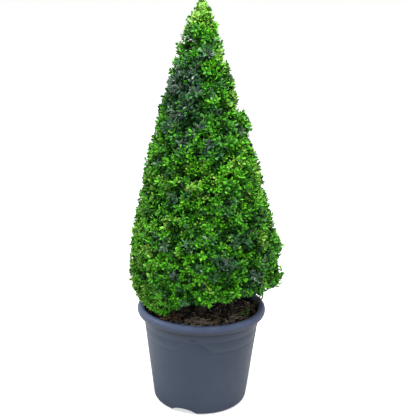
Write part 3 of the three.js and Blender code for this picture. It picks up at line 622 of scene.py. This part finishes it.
def masses():
    """Each foliage mass's space, a sector of a tier, and the limb that carries it."""
    for tier, low, high, first, sectors, hollow, radii, share in TIERS:
        width = 360 / len(sectors)
        limb = "basal_stem" if low is None else "bough"
        for i, sector in enumerate(sectors):
            whole = len(sectors) == 1
            node = f"foliage_{tier}" if whole else f"foliage_{tier}_{sector}"
            carrier = "trunk" if whole else f"{limb}_{tier}_{sector}"
            start = first + width * i
            yield Mass(node, carrier, sector, low, high, start, start + width, hollow, radii, share)


def lower_edge(mass, azimuth):
    return mass.low if mass.low is not None else skirt_edge(azimuth)


def station(mass, azimuth, share):
    """The height at a share of the way up a mass."""
    return lerp(lower_edge(mass, azimuth) + EDGE_MARGIN, mass.high, share)


def seat(x, y):
    """Where a stem stands in its dimple on the compost."""
    return np.array([x, y, soil(x, y) - SEAT_DEPTH])


def carrier_path(mass):
    """The centreline of the limb that carries a mass."""
    middle = (mass.start + mass.end) / 2
    basal = mass.low is None
    head_station = lerp(lower_edge(mass, middle), mass.high, BASAL_HEAD if basal else BOUGH_HEAD)
    head = crown_point(middle, head_station, mass.hollow - HEAD_INSIDE)
    if basal:
        azimuth, from_axis = BASAL_FEET[mass.sector]
        foot = seat(*(outward(azimuth) * from_axis)[:2])
        knee = (foot + head) / 2 - BASAL_BOW * outward(middle)
        return [foot, knee, head]
    root = trunk_centre(mass.low - BOUGH_DROP)
    knee = (root + head) / 2 - (0, 0, BOUGH_SAG)
    return [root, knee, head]


def make_limbs():
    """The trunk, basal stems, boughs and rim shoots. Returns their centrelines and radii."""
    rng = np.random.default_rng(SEED)
    bark = bark_look("bark", BARK_AND_PAINTED_SHADE, 420)
    limbs = {}

    def add_limb(name, path, radii, mesh):
        steps, sides, relief = mesh
        limbs[name] = (curve_points(path, steps), lerp(*radii, np.linspace(0, 1, steps + 1)), sides, relief)

    steps, sides, relief = TRUNK_MESH
    heights = np.linspace(seat(0, 0)[2], TRUNK_TOP, steps + 1)
    centres = np.array([trunk_centre(z) for z in heights])
    limbs["trunk"] = (centres, ramp(TRUNK_RADII, heights), sides, relief)
    for mass in masses():
        if mass.carrier != "trunk":
            add_limb(mass.carrier, carrier_path(mass), mass.radii, BOUGH_MESH)
    for name, (foot, path, radii) in RIM_SHOOTS.items():
        add_limb(name, [seat(*foot), *np.array(path, float)], radii, SHOOT_MESH)
    for name, limb in limbs.items():
        mesh_piece(f"{name}_bark", limb_mesh(*limb, rng), bark, (name,))
    return {name: limb[:2] for name, limb in limbs.items()}


def clear_of_limbs(points, limbs):
    """How far each point lies outside the nearest limb's bark."""
    nearest = np.full(len(points), np.inf)
    for centres, radii in limbs.values():
        for i in range(0, len(centres) - 1, 3):
            j = min(i + 3, len(centres) - 1)
            a, b = centres[i], centres[j]
            t = np.clip((points - a) @ (b - a) / max((b - a) @ (b - a), 1e-9), 0, 1)
            gap = np.linalg.norm(points - (a + t[:, None] * (b - a)), axis=1) - lerp(radii[i], radii[j], t)
            nearest = np.minimum(nearest, gap)
    return nearest


# ---------- foliage


def newness_and_painted_light(azimuth, z):
    """How much new growth a place carries, from 0 to 1, with painted shade at the skirt's lower right edge
    and a painted glow at the tip added in.
    """
    # the tip's new growth, with a painted glow of light through its thin leaves
    tip = np.clip((z - 1060) / 60, 0, 1)
    return NEWNESS + TIP_NEWNESS_AND_GLOW * tip + humps(0, GROWTH_AND_SHADE_PLACES, azimuth, z)


def patches(points, rng):
    """A smooth random field, from about -1 to 1."""
    direction = unit(rng.standard_normal((PATCH_WAVES, 3)))
    waves = direction * (2 * math.pi / rng.uniform(*PATCH_LENGTHS, (PATCH_WAVES, 1)))
    phase = rng.uniform(0, 2 * math.pi, PATCH_WAVES)
    return np.sin(points @ waves.T + phase).sum(1) / math.sqrt(PATCH_WAVES)


def azimuth_of(points):
    """The azimuths of points, seen from the crown's axis."""
    return np.arctan2(points[:, 0] - ramp(LEAN, points[:, 2]), -points[:, 1]) / DEG


def standing(points, rng):
    """Which shoots grew: gaps come in patches where the crown is thin."""
    thin = humps(0, THIN_PLACES, azimuth_of(points), points[:, 2])
    return rng.random(len(points)) > thin * (1 + patches(points, rng))


class Growth:
    """The branching of one mass: twigs from fork to fork, and a spray at each end."""

    def __init__(self, mass, rng):
        self.mass = mass
        self.rng = rng
        self.twigs = []  # start, end, order
        self.sprays = []  # start, end

    def cell_size(self, cell):
        start, end, low, high = cell
        middle = (start + end) / 2
        bottom, top = (self.at(middle, s) for s in (low, high))
        return (end - start) * DEG * reach(middle, (bottom + top) / 2), top - bottom

    def at(self, azimuth, share):
        return station(self.mass, azimuth, share)

    def place(self, cell, depth, lift=0.0):
        """A point near the cell's middle, at a depth inside the clipped face."""
        start, end, low, high = cell
        azimuth = lerp(start, end, self.near_middle(CELL_JITTER))
        z = self.at(azimuth, lerp(low, high, self.near_middle(CELL_JITTER))) + lift
        radius = max(self.mass.hollow + 8, reach(azimuth, z) - depth)
        return crown_point(azimuth, z, radius)

    def near_middle(self, jitter):
        return 0.5 + (self.rng.random() - 0.5) * jitter

    def grow(self, fork, cell, order):
        """A twig to a fork near the cell's middle, then the cell halved across its longer side."""
        breadth, tall = self.cell_size(cell)
        if breadth * tall < FINE_CELL * self.mass.share:
            tip = self.place(cell, self.rng.uniform(*SPRAY_DEPTHS), self.rng.uniform(*SPRAY_LIFT))
            tip[2] = min(tip[2], LEAF_TOP - 8)
            self.sprays.append((fork, tip))
            return
        node = self.place(cell, FORK_DEPTHS[min(order, len(FORK_DEPTHS) - 1)])
        self.twigs.append((fork, node, order))
        start, end, low, high = cell
        cut = self.near_middle(CUT_JITTER)
        if breadth > tall:
            edge = lerp(start, end, cut)
            halves = ((start, edge, low, high), (edge, end, low, high))
        else:
            edge = lerp(low, high, cut)
            halves = ((start, end, low, edge), (start, end, edge, high))
        for half in halves:
            self.grow(node, half, order + 1)


def grow_mass(mass, rng):
    """Grows a mass from its bough's tip, or the spire in bands up a leader."""
    growth = Growth(mass, rng)
    if mass.hollow:
        middle = (mass.start + mass.end) / 2
        heart = crown_point(middle, station(mass, middle, 0.5), mass.hollow + 7)
        growth.twigs.append((carrier_path(mass)[-1], heart, 0))
        growth.grow(heart, (mass.start, mass.end, 0, 1), 0)
        return growth
    heart = crown_point(0, lerp(mass.low, CROWN_TIP, 0.4), 0)
    leader = crown_point(0, CROWN_TIP - LEADER_BELOW_TIP, 0)
    growth.twigs += [(trunk_centre(TRUNK_TOP), heart, 0), (heart, leader, 1)]
    for i, (low, high) in enumerate(SPIRE_BANDS):
        fork = crown_point(0, min(growth.at(0, low), leader[2] - 12), 0)
        for half in (0, 1):
            start = -180 + 180 * half + SPIRE_TWIST * i
            growth.grow(fork, (start, start + 180, low, high), 2)
    growth.grow(leader, (-180, 180, SPIRE_BANDS[-1][1], 1), 4)
    return growth


def cross_axes(along):
    """Two directions square to each direction and to each other."""
    helper = np.where(np.abs(along[:, 2:3]) < 0.9, (0.0, 0.0, 1.0), (1.0, 0.0, 0.0))
    across = unit(np.cross(along, helper))
    return across, np.cross(along, across)


def side_shoots(start, end, rng):
    """Short shoots on all sides of each spray's main shoot."""
    count = len(start)
    length = np.linalg.norm(end - start, axis=1, keepdims=True)
    along = (end - start) / length
    across, over = cross_axes(along)
    first = rng.uniform(0, 2 * math.pi, count)
    made = []
    for k in range(SIDE_SHOOTS):
        roll = (first + k * SIDE_TURN + rng.normal(0, 0.3, count))[:, None]
        angle = rng.uniform(*SIDE_ANGLE, (count, 1)) * DEG
        heading = along * np.cos(angle) + (across * np.cos(roll) + over * np.sin(roll)) * np.sin(angle)
        heading = unit(heading + (0, 0, SIDE_RISE))
        root = lerp(start, end, rng.uniform(*SIDE_ROOTS, (count, 1)))
        made.append((root, root + heading * length * rng.uniform(*SIDE_LENGTH, (count, 1))))
    return joined(made)


def leaves_along(start, end, vigour, rng, reach_back=1.1, size=1.0, spacing=PAIR_SPACING):
    """Pairs of leaves from each shoot's tip back: root, heading, upper side, length, vigour."""
    count = len(start)
    length = np.linalg.norm(end - start, axis=1)
    sag = rng.uniform(*SAG, (count, 1)) * length[:, None]
    middle = (start + end) / 2 - (0, 0, 1) * sag
    roll = rng.uniform(0, 2 * math.pi, count)
    rows = []
    for pair in range(int(length.max() / spacing) + 2):
        back = (pair + 0.15) * spacing * rng.uniform(0.85, 1.15, count)
        live = back < length * reach_back
        t = np.maximum(1 - back[live] / length[live], 0)[:, None]
        s, m, e = start[live], middle[live], end[live]
        at = (1 - t) ** 2 * s + 2 * t * (1 - t) * m + t ** 2 * e
        along = unit(2 * (1 - t) * (m - s) + 2 * t * (e - m))
        across, over = cross_axes(along)
        young = np.clip(1 - back[live] / (YOUNG_PAIRS * spacing), 0, 1)
        for side in (0, math.pi):
            n = len(at)
            turned = (roll[live] + side + pair * math.pi / 2 + rng.normal(0, TURN_SPREAD, n))[:, None]
            sideways = across * np.cos(turned) + over * np.sin(turned)
            angle = ((LEAF_ANGLE - YOUNG_ANGLE_LESS * young + rng.normal(0, ANGLE_SPREAD, n)) * DEG)[:, None]
            heading = unit(along * np.cos(angle) + sideways * np.sin(angle))
            upper = unit(along - heading * np.sum(along * heading, 1, keepdims=True))
            twist = rng.normal(0, TWIST_SPREAD, n)[:, None]
            upper = unit(upper * np.cos(twist) + np.cross(heading, upper) * np.sin(twist))
            grown = lerp(*GROWN_SIZES, np.clip(vigour[live] / 0.55, 0, 1))
            grown = LEAF_LENGTH * size * grown * (1.04 - YOUNG_SMALLER * young ** 2)
            blade = grown * rng.uniform(*LEAF_SIZES, n)
            age = OLDER_INSIDE * (1 - young)
            rows.append((at + heading * 0.5, heading, upper, blade, vigour[live] - age))
    return joined(rows)


def inner_shoots(start, end, rng):
    """Leafy shoots that leave the inner twigs every way, and close the crown's inside."""
    count = len(start) * INNER_SHOOTS
    start, end = (np.tile(part, (INNER_SHOOTS, 1)) for part in (start, end))
    root = lerp(start, end, rng.uniform(0, 1, (count, 1)))
    heading = unit(rng.standard_normal((count, 3)))
    return root, root + heading * rng.uniform(*INNER_LENGTH, (count, 1))


def fitting_leaves(leaves, limbs):
    """Keeps leaves within the outline, above the pot's rim or inside it, and off the limbs."""
    root, direction, _, length, _ = leaves
    tip = root + direction * length[:, None]
    middle = root + direction * (0.5 * length[:, None])
    azimuth = azimuth_of(tip)
    radius = np.hypot(tip[:, 0] - ramp(LEAN, tip[:, 2]), tip[:, 1])
    keep = radius < reach(azimuth, tip[:, 2]) + lerp(11, 2, np.clip((tip[:, 2] - 1080) / 60, 0, 1))
    keep &= np.minimum(tip[:, 2], root[:, 2]) > skirt_edge(azimuth) - 2
    keep &= tip[:, 2] < LEAF_TOP
    half = 0.3 * length
    for point in (tip, middle):
        flat = np.hypot(point[:, 0], point[:, 1])
        over_rim = point[:, 2] - half * 0.8 > RIM_HEIGHT + RIM_HALF_HEIGHT + 1
        in_pot = (flat + half < POT_NECK_RADIUS - POT_WALL - 3) & (point[:, 2] - half > SOIL_TOP + 4)
        keep &= (over_rim | in_pot) & (clear_of_limbs(point, limbs) > LIMB_MARGIN)
    return [part[keep] for part in leaves]


def blade(rows):
    """The points and faces of one leaf."""
    points = [(0, 0, 0)]
    faces = [(0, 3, 2), (0, 2, 1)]
    for along, half, edge, middle in rows:
        k = len(points)
        points += [(along, half, edge), (along, 0, middle), (along, -half, edge)]
        if k > 1:
            faces += [(k - 1, k + 2, k + 1), (k - 1, k + 1, k - 2), (k - 2, k + 1, k), (k - 2, k, k - 3)]
    k = len(points)
    faces += [(k - 1, k, k - 2), (k - 2, k, k - 3)]
    return np.array(points + [LEAF_TIP], float), np.array(faces)


def leaf_mesh(leaves, rows=LEAF_ROWS):
    """A blade for each leaf."""
    root, direction, upper, length, _ = leaves
    across = np.cross(upper, direction)
    shape, one = blade(rows)
    corners = len(shape)
    shape = shape[None] * length[:, None, None]
    points = (
        root[:, None]
        + shape[..., 0:1] * direction[:, None]
        + shape[..., 1:2] * LEAF_WIDTH * across[:, None]
        + shape[..., 2:3] * upper[:, None]
    ).reshape(-1, 3)
    faces = (one[None] + corners * np.arange(len(root))[:, None, None]).reshape(-1, 3)
    return points, faces


def twig_mesh(twigs):
    """Three-sided twigs. Each is start, end and the radii there."""
    start = np.array([t[0] for t in twigs], float)
    end = np.array([t[1] for t in twigs], float)
    radii = np.array([t[2:4] for t in twigs], float)
    along = unit(end - start)
    start = start - along * radii[:, :1]
    across, over = cross_axes(along)
    points = []
    for centre, radius in ((start, radii[:, :1]), (end, radii[:, 1:])):
        for k in range(3):
            a = k * 2 * math.pi / 3
            points.append(centre + radius * (across * math.cos(a) + over * math.sin(a)))
    points = np.stack(points, 1).reshape(-1, 3)
    faces = (TWIG_FACES[None] + 6 * np.arange(len(twigs))[:, None, None]).reshape(-1, 3)
    return points, faces


def leaf_pieces(name, leaves, look, nodes, rows=LEAF_ROWS):
    """One kind's leaves, joined into large pieces."""
    batches = np.array_split(np.arange(len(leaves[0])), math.ceil(len(leaves[0]) / MOST_LEAVES))
    for number, batch in enumerate(batches, 1):
        shape = leaf_mesh([part[batch] for part in leaves], rows)
        mesh_piece(f"{name}_{number}", shape, look, nodes)


def outer_shoots(sprays, rng):
    """The sprays that grew, and their side shoots: start, end and vigour of each."""
    start, end = map(np.array, zip(*sprays))
    grown = standing(end, rng)
    start, end = start[grown], end[grown]
    count = len(start)
    # the vigour carries painted shade at the skirt's lower right edge and a painted glow at the tip
    vigour = newness_and_painted_light(azimuth_of(end), end[:, 2]) + PATCH_SHARE * patches(end, rng)
    vigour = vigour + SPRAY_SHARE * rng.standard_normal(count)
    side_start, side_end = side_shoots(start, end, rng)
    side_vigour = np.tile(vigour, SIDE_SHOOTS) + SIDE_SHARE * rng.standard_normal(count * SIDE_SHOOTS)
    return (start, end, vigour), (side_start, side_end, side_vigour)


def make_outer_leaves(main, side, limbs, nodes, rng):
    """The leaves of the sprays, sorted into kinds by their vigour."""
    start, end, vigour = main
    rows = leaves_along(start, end, vigour + MAIN_NEWER, rng), leaves_along(*side, rng, SIDE_LEAFY)
    leaves = fitting_leaves(joined(rows), limbs)
    lowest = -math.inf
    for name, highest, *finish in LEAF_KINDS:
        chosen = (leaves[4] >= lowest) & (leaves[4] < highest)
        leaf_pieces(name, [part[chosen] for part in leaves], leaf_look(name, *finish), nodes)
        lowest = highest


def make_inner_leaves(twigs, limbs, nodes, rng):
    start, end = inner_shoots(*(np.array([t[k] for t in twigs if t[2] > 1]) for k in (0, 1)), rng)
    grown = standing(end, rng) & (end[:, 2] < INNER_TOP)
    start, end = start[grown], end[grown]
    leaves = leaves_along(start, end, np.zeros(len(start)), rng, 1.0, INNER_LEAF_SIZE, INNER_SPACING)
    look = leaf_look("leaves_inner", *INNER_LEAF_AND_SHADE_LOOK)
    leaf_pieces("leaves_inner", fitting_leaves(leaves, limbs), look, nodes, INNER_LEAF_ROWS)


def make_twigs(twigs, shoots, nodes):
    """Twigs that thicken towards the limbs, and the sprays' stalks, green where new."""
    woody, green = [], []
    for start, end, order in twigs:
        radius = TWIG_RADIUS * (1 + TWIG_THICKER * max(0, 6 - order))
        woody.append((start, end, radius, radius * 0.8))
    start, end, vigour = joined(shoots)
    for a, b, new in zip(start, end, vigour > GREEN_VIGOUR):
        (green if new else woody).append((a, b, TWIG_RADIUS, TWIG_RADIUS * 0.6))
    for name, made, bark, shades in (
        ("twigs_woody", woody, "twig_bark", WOODY_SHADES),
        ("twigs_green", green, "green_bark", GREEN_SHADES),
    ):
        mesh_piece(name, twig_mesh(made), bark_look(bark, shades, 500), nodes)


def make_foliage(limbs):
    spaces = list(masses())
    nodes = [mass.node for mass in spaces]
    twigs, sprays = [], []
    for i, mass in enumerate(spaces):
        growth = grow_mass(mass, random.Random(SEED + i))
        twigs += growth.twigs
        sprays += growth.sprays
    rng = np.random.default_rng(SEED)
    shoots = outer_shoots(sprays, rng)
    make_outer_leaves(*shoots, limbs, nodes, rng)
    make_inner_leaves(twigs, limbs, nodes, rng)
    make_twigs(twigs, shoots, nodes)


def make_low_shoot():
    """The young leafy shoot that stands on the compost."""
    rng = np.random.default_rng(SEED + 50)
    foot = seat(*LOW_SHOOT_FOOT)
    head = foot + (*LOW_SHOOT_LEAN, LOW_SHOOT_HEIGHT)
    shape = twig_mesh([(foot, head, *LOW_SHOOT_RADII)])
    stalk = dull_look("shoot_stalk", STALK_SHADES, 300)
    mesh_piece("low_shoot_stalk", shape, stalk, ("low_shoot",))
    start = np.array([foot + (0, 0, 4), lerp(foot, head, 0.3)])
    end = np.array([head, lerp(foot, head, 0.7) + (-12, -7, 3)])
    shape = leaf_mesh(leaves_along(start, end, np.full(2, 0.6), rng, 0.85, 0.8))
    young = leaf_look("leaves_young", *LEAF_KINDS[-1][2:])
    mesh_piece("low_shoot_leaves", shape, young, ("low_shoot",))


# ---------- the pot


def arc(centre_r, centre_z, half_width, half_height, start, end, steps):
    """Points of a profile round part of an ellipse."""
    angle = np.linspace(start, end, steps + 1) * DEG
    return [(centre_r + half_width * math.cos(a), centre_z + half_height * math.sin(a)) for a in angle]


def lathe_mesh(profile, segments, shape=None):
    """A turned solid. Its profile starts and ends on the axis; shape may move its points."""
    profile = np.asarray(profile, float)
    inner = profile[1:-1]
    azimuth = np.linspace(0, 360, segments, endpoint=False)
    out = outward(azimuth)
    radius, z = (np.repeat(inner[:, k:k + 1], segments, 1) for k in (0, 1))
    if shape:
        radius, z = shape(radius, z, azimuth)
    points = (out[None] * radius[..., None] + np.array([0, 0, 1.0]) * z[..., None]).reshape(-1, 3)
    quads, fans = tube_faces(len(inner), segments)
    points = np.vstack([points, [(0, 0, profile[0][1]), (0, 0, profile[-1][1])]])
    return plain_mesh(points, quads.tolist() + fans)


def plain_mesh(points, faces):
    mesh = bpy.data.meshes.new("shape")
    mesh.from_pydata([tuple(p * MM) for p in points], [], faces)
    return mesh


def arch_bar(azimuth, margin):
    """An arched bar lying along a radius, from under the floor out past the wall."""
    half_width = DRAIN_WIDTH / 2 + margin
    outline = arc(0, 0, half_width, DRAIN_HEIGHT + margin, 0, 180, 32)
    outline = [(half_width, -2)] + outline + [(-half_width, -2)]
    ends = (DRAIN_INNER_RADIUS - margin, CUT_REACH)
    points = [beside(azimuth, distance, x, z) for distance in ends for x, z in outline]
    n = len(outline)
    faces = [tuple(range(n))[::-1], tuple(range(n, 2 * n))]
    faces += [(k, (k + 1) % n, n + (k + 1) % n, n + k) for k in range(n)]
    return add("arch", plain_mesh(points, faces))


def boolean(target, cutter, operation):
    """Joins or cuts the target's mesh by the cutter, and uses the cutter up."""
    modifier = target.modifiers.new("cut", "BOOLEAN")
    modifier.object = cutter
    modifier.operation = operation
    modifier.solver = "EXACT"
    graph = bpy.context.evaluated_depsgraph_get()
    made = bpy.data.meshes.new_from_object(target.evaluated_get(graph))
    target.modifiers.clear()
    target.data = made
    bpy.data.objects.remove(cutter)


def pot_profile():
    """From the middle of the underside up the wall, round the rim and down inside to the floor."""
    roll = (RIM_RADIUS - RIM_HALF_WIDTH, RIM_HEIGHT)
    edges = (-GROOVE_HALF_WIDTH, 0, GROOVE_HALF_WIDTH)
    grooves = [z + up for z in (LOWER_GROOVE, UPPER_GROOVE) for up in edges]
    outside = [(wall_radius(z), z) for z in (*np.linspace(24, 196, 12), *grooves, 254)]
    inside = [(wall_radius(z) - POT_WALL, z) for z in np.linspace(24, 254, 16)]
    corner = (POT_FOOT_RADIUS, POT_CORNER_RADIUS + 2, POT_CORNER_RADIUS - POT_WALL, POT_CORNER_RADIUS - 2)
    return (
        [(0, 0)]
        + arc(POT_FOOT_RADIUS, POT_CORNER_RADIUS, POT_CORNER_RADIUS, POT_CORNER_RADIUS, -90, 0, 8)
        + outside
        + [(POT_NECK_RADIUS, POT_NECK_HEIGHT)]
        + arc(*roll, RIM_HALF_WIDTH - RIM_WALL, RIM_HALF_HEIGHT - RIM_WALL, 160, -50, 14)
        + arc(*roll, RIM_HALF_WIDTH, RIM_HALF_HEIGHT, -50, 180, 20)
        + inside[::-1]
        + arc(*corner, 0, -90, 6)
        + [(0, POT_FLOOR)]
    )


def grooved(radius, z, azimuth):
    """Cuts two grooves into the wall, the lower one lifted in an arch at each tab."""
    from_tab = np.abs((azimuth - TAB_AZIMUTH + TAB_APART / 2) % TAB_APART - TAB_APART / 2)
    t = np.clip((from_tab - ARCH_TOP) / ARCH_SLOPE, 0, 1)
    rise = ARCH_HEIGHT * (1 - t * t * (3 - 2 * t))
    outside = np.isclose(radius, wall_radius(z))
    lower = outside & (np.abs(z - LOWER_GROOVE) < 2 * GROOVE_HALF_WIDTH)
    bottom = outside & (np.isclose(z, LOWER_GROOVE) | np.isclose(z, UPPER_GROOVE))
    moved = z + lower * rise
    return np.where(lower, wall_radius(moved), radius) - GROOVE_DEPTH * bottom, moved


def make_tabs(look):
    """Bevelled tabs on the wall under the rim."""
    points, faces = [], []
    for azimuth in range(TAB_AZIMUTH, 360 + TAB_AZIMUTH, TAB_APART):
        faces += [[len(points) + k for k in side] for side in BOX_FACES]
        for out, inset in ((-1.0, 0), (TAB_RELIEF, TAB_BEVEL)):
            half = TAB_WIDTH / 2 - inset
            low, high = TAB_HEIGHTS[0] + inset, TAB_HEIGHTS[1] - inset
            for x, z in ((-half, low), (half, low), (half, high), (-half, high)):
                points.append(beside(azimuth, wall_radius(z) + out, x, z))
    mesh_piece("pot_tabs", (points, faces), look, ("pot",), smooth=False)


def make_pot():
    look = pot_look()
    make_tabs(look)
    pot = add("pot_moulded", lathe_mesh(pot_profile(), POT_SEGMENTS, grooved))
    # the notches' roofs stay above the underside and inside the wall's face
    foot = arc(POT_FOOT_RADIUS, POT_CORNER_RADIUS, POT_CORNER_RADIUS - 2, POT_CORNER_RADIUS - 2, -90, 0, 8)
    space = [(0, 1), *foot, (POT_FOOT_RADIUS + 13, 40), (0, 40)]
    for azimuth in DRAIN_AZIMUTHS:
        boss = arch_bar(azimuth, DRAIN_ROOF)
        boolean(boss, add("plug", lathe_mesh(space, POT_SEGMENTS)), "INTERSECT")
        boolean(pot, boss, "UNION")
        boolean(pot, arch_bar(azimuth, 0), "DIFFERENCE")
        drill = add("drill", lathe_mesh(DRILL_PROFILE, 24))
        drill.location = outward(azimuth) * HOLE_FROM_AXIS * MM
        boolean(pot, drill, "DIFFERENCE")
    for polygon in pot.data.polygons:
        polygon.use_smooth = True
    pot.data.set_sharp_from_angle(angle=38 * DEG)
    pot.data.materials.clear()
    pot.data.materials.append(look)
    settle(pot, ("pot",))


# ---------- the compost


def make_compost():
    """Gives the plug its material, and strews crumbs of bark and straws on it."""
    plug = mottled_look("compost_plug", COMPOST_SHADES, (0.35, 0.68), 0.95, (140, 8.0, 0.7), (0.8, 0.002))
    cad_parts["compost"].data.materials.clear()
    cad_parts["compost"].data.materials.append(plug)
    rng = np.random.default_rng(SEED + 60)
    count = CRUMBS
    radius = (POT_NECK_RADIUS - POT_WALL - 6) * np.sqrt(rng.uniform(0.0, 1, count))
    azimuth = rng.uniform(-180, 180, count)
    x, y = (outward(azimuth)[:, :2] * radius[:, None]).T
    size = rng.gamma(2.2, 1.15, count) + 1.2
    centre = np.stack([x, y, soil(x, y) + 0.25 * size], -1)
    turned = np.linalg.qr(rng.standard_normal((count, 3, 3)))[0]
    length = size * rng.uniform(0.9, 2.0, count)
    breadth = size * rng.uniform(0.6, 1.1, count)
    stretch = np.stack([length, breadth, size * 0.5], -1)
    shape = CRUMB_CORNERS[None] * stretch[:, None] * rng.uniform(0.7, 1.3, (count, 6, 1))
    points = (centre[:, None] + shape @ turned).reshape(-1, 3)
    faces = (CRUMB_FACES[None] + 6 * np.arange(count)[:, None, None]).reshape(-1, 3)
    look = Look("bark_crumbs", Roughness=0.9)
    look.paint(look.dealt(CRUMB_SHADES))
    mesh_piece("compost_crumbs", (points, faces), look.material, (), smooth=False)
    make_straws(rng)


def straws_at(place, spread, count, lengths, rng):
    """Thin bits lying every way round a place on the compost."""
    made = []
    while len(made) < count:
        middle = np.asarray(place) + rng.normal(0, spread, 2)
        heading = rng.uniform(0, 2 * math.pi)
        half = rng.uniform(*lengths) / 2
        ends = []
        for side in (-1, 1):
            x = middle[0] + side * half * math.cos(heading)
            y = middle[1] + side * half * math.sin(heading)
            ends.append(np.array([x, y, soil(x, y) + rng.uniform(*STRAW_LIFT)]))
        if max(math.hypot(*end[:2]) for end in ends) < STRAW_REACH:
            made.append((*ends, *STRAW_RADII))
    return made


def make_straws(rng):
    """Straws and bits of bark, singly and in tufts."""
    for name, shades, tufts in STRAWS:
        shape = twig_mesh([straw for tuft in tufts for straw in straws_at(*tuft, rng)])
        mesh_piece(name, shape, dull_look(name, shades, 200), ())


# ---------- camera and light


def make_camera():
    """Looks from the front and a little down, rolled a little."""
    data = bpy.data.cameras.new("camera")
    data.sensor_width = 36
    data.lens = CAMERA_LENS
    camera = add("camera", data)
    tilt = Matrix.Rotation((90 - CAMERA_TILT) * DEG, 4, "X")
    roll = Matrix.Rotation(CAMERA_ROLL * DEG, 4, "Z")
    camera.matrix_world = Matrix.Translation(CAMERA_PLACE) @ tilt @ roll
    bpy.context.scene.camera = camera


def make_sky():
    """Soft light from all round, and a white backdrop that only the camera sees."""
    world = bpy.data.worlds.new("studio")
    world.use_nodes = True
    tree = world.node_tree
    around = fill(tree.nodes["Background"], {"Strength": SKY_STRENGTH, "Color": SKY_COLOUR})
    backdrop = fill(tree.nodes.new("ShaderNodeBackground"), {"Color": (1, 1, 1, 1)})
    path = tree.nodes.new("ShaderNodeLightPath")
    mix = tree.nodes.new("ShaderNodeMixShader")
    tree.links.new(path.outputs["Is Camera Ray"], mix.inputs["Fac"])
    tree.links.new(around.outputs["Background"], mix.inputs[1])
    tree.links.new(backdrop.outputs["Background"], mix.inputs[2])
    tree.links.new(mix.outputs["Shader"], tree.nodes["World Output"].inputs["Surface"])
    bpy.context.scene.world = world


def make_floor():
    corners = FLOOR_HALF * np.array([(-1, -1, 0), (1, -1, 0), (1, 1, 0), (-1, 1, 0)])
    mesh = plain_mesh(corners, [(0, 1, 2, 3)])
    look = Look("floor", Roughness=0.9, Specular_IOR_Level=0.1, Emission_Color=(1, 1, 1, 1))
    look.paint(look.between(look.noise(3), FLOOR_SHADES, 0.3, 0.7))
    seen = look.node("LightPath").outputs["Is Camera Ray"]
    look.link(look.span(seen, *FLOOR_GLOW), look.shader.inputs["Emission Strength"])
    mesh.materials.append(look.material)
    floor = add("floor", mesh)


def make_studio():
    bpy.context.scene.view_settings.view_transform = "Standard"
    make_sky()
    for name, place, target, size, power, colour in LAMPS:
        data = bpy.data.lights.new(name, "AREA")
        data.shape = "DISK"
        data.size = size
        data.energy = power
        data.color = colour
        lamp = add(name, data)
        lamp.location = place
        lamp.rotation_euler = (Vector(target) - Vector(place)).to_track_quat("-Z", "Y").to_euler()
    make_floor()


make_camera()
limbs = make_limbs()
make_foliage(limbs)
make_low_shoot()
make_pot()
make_compost()
make_studio()

bpy.context.view_layer.update()
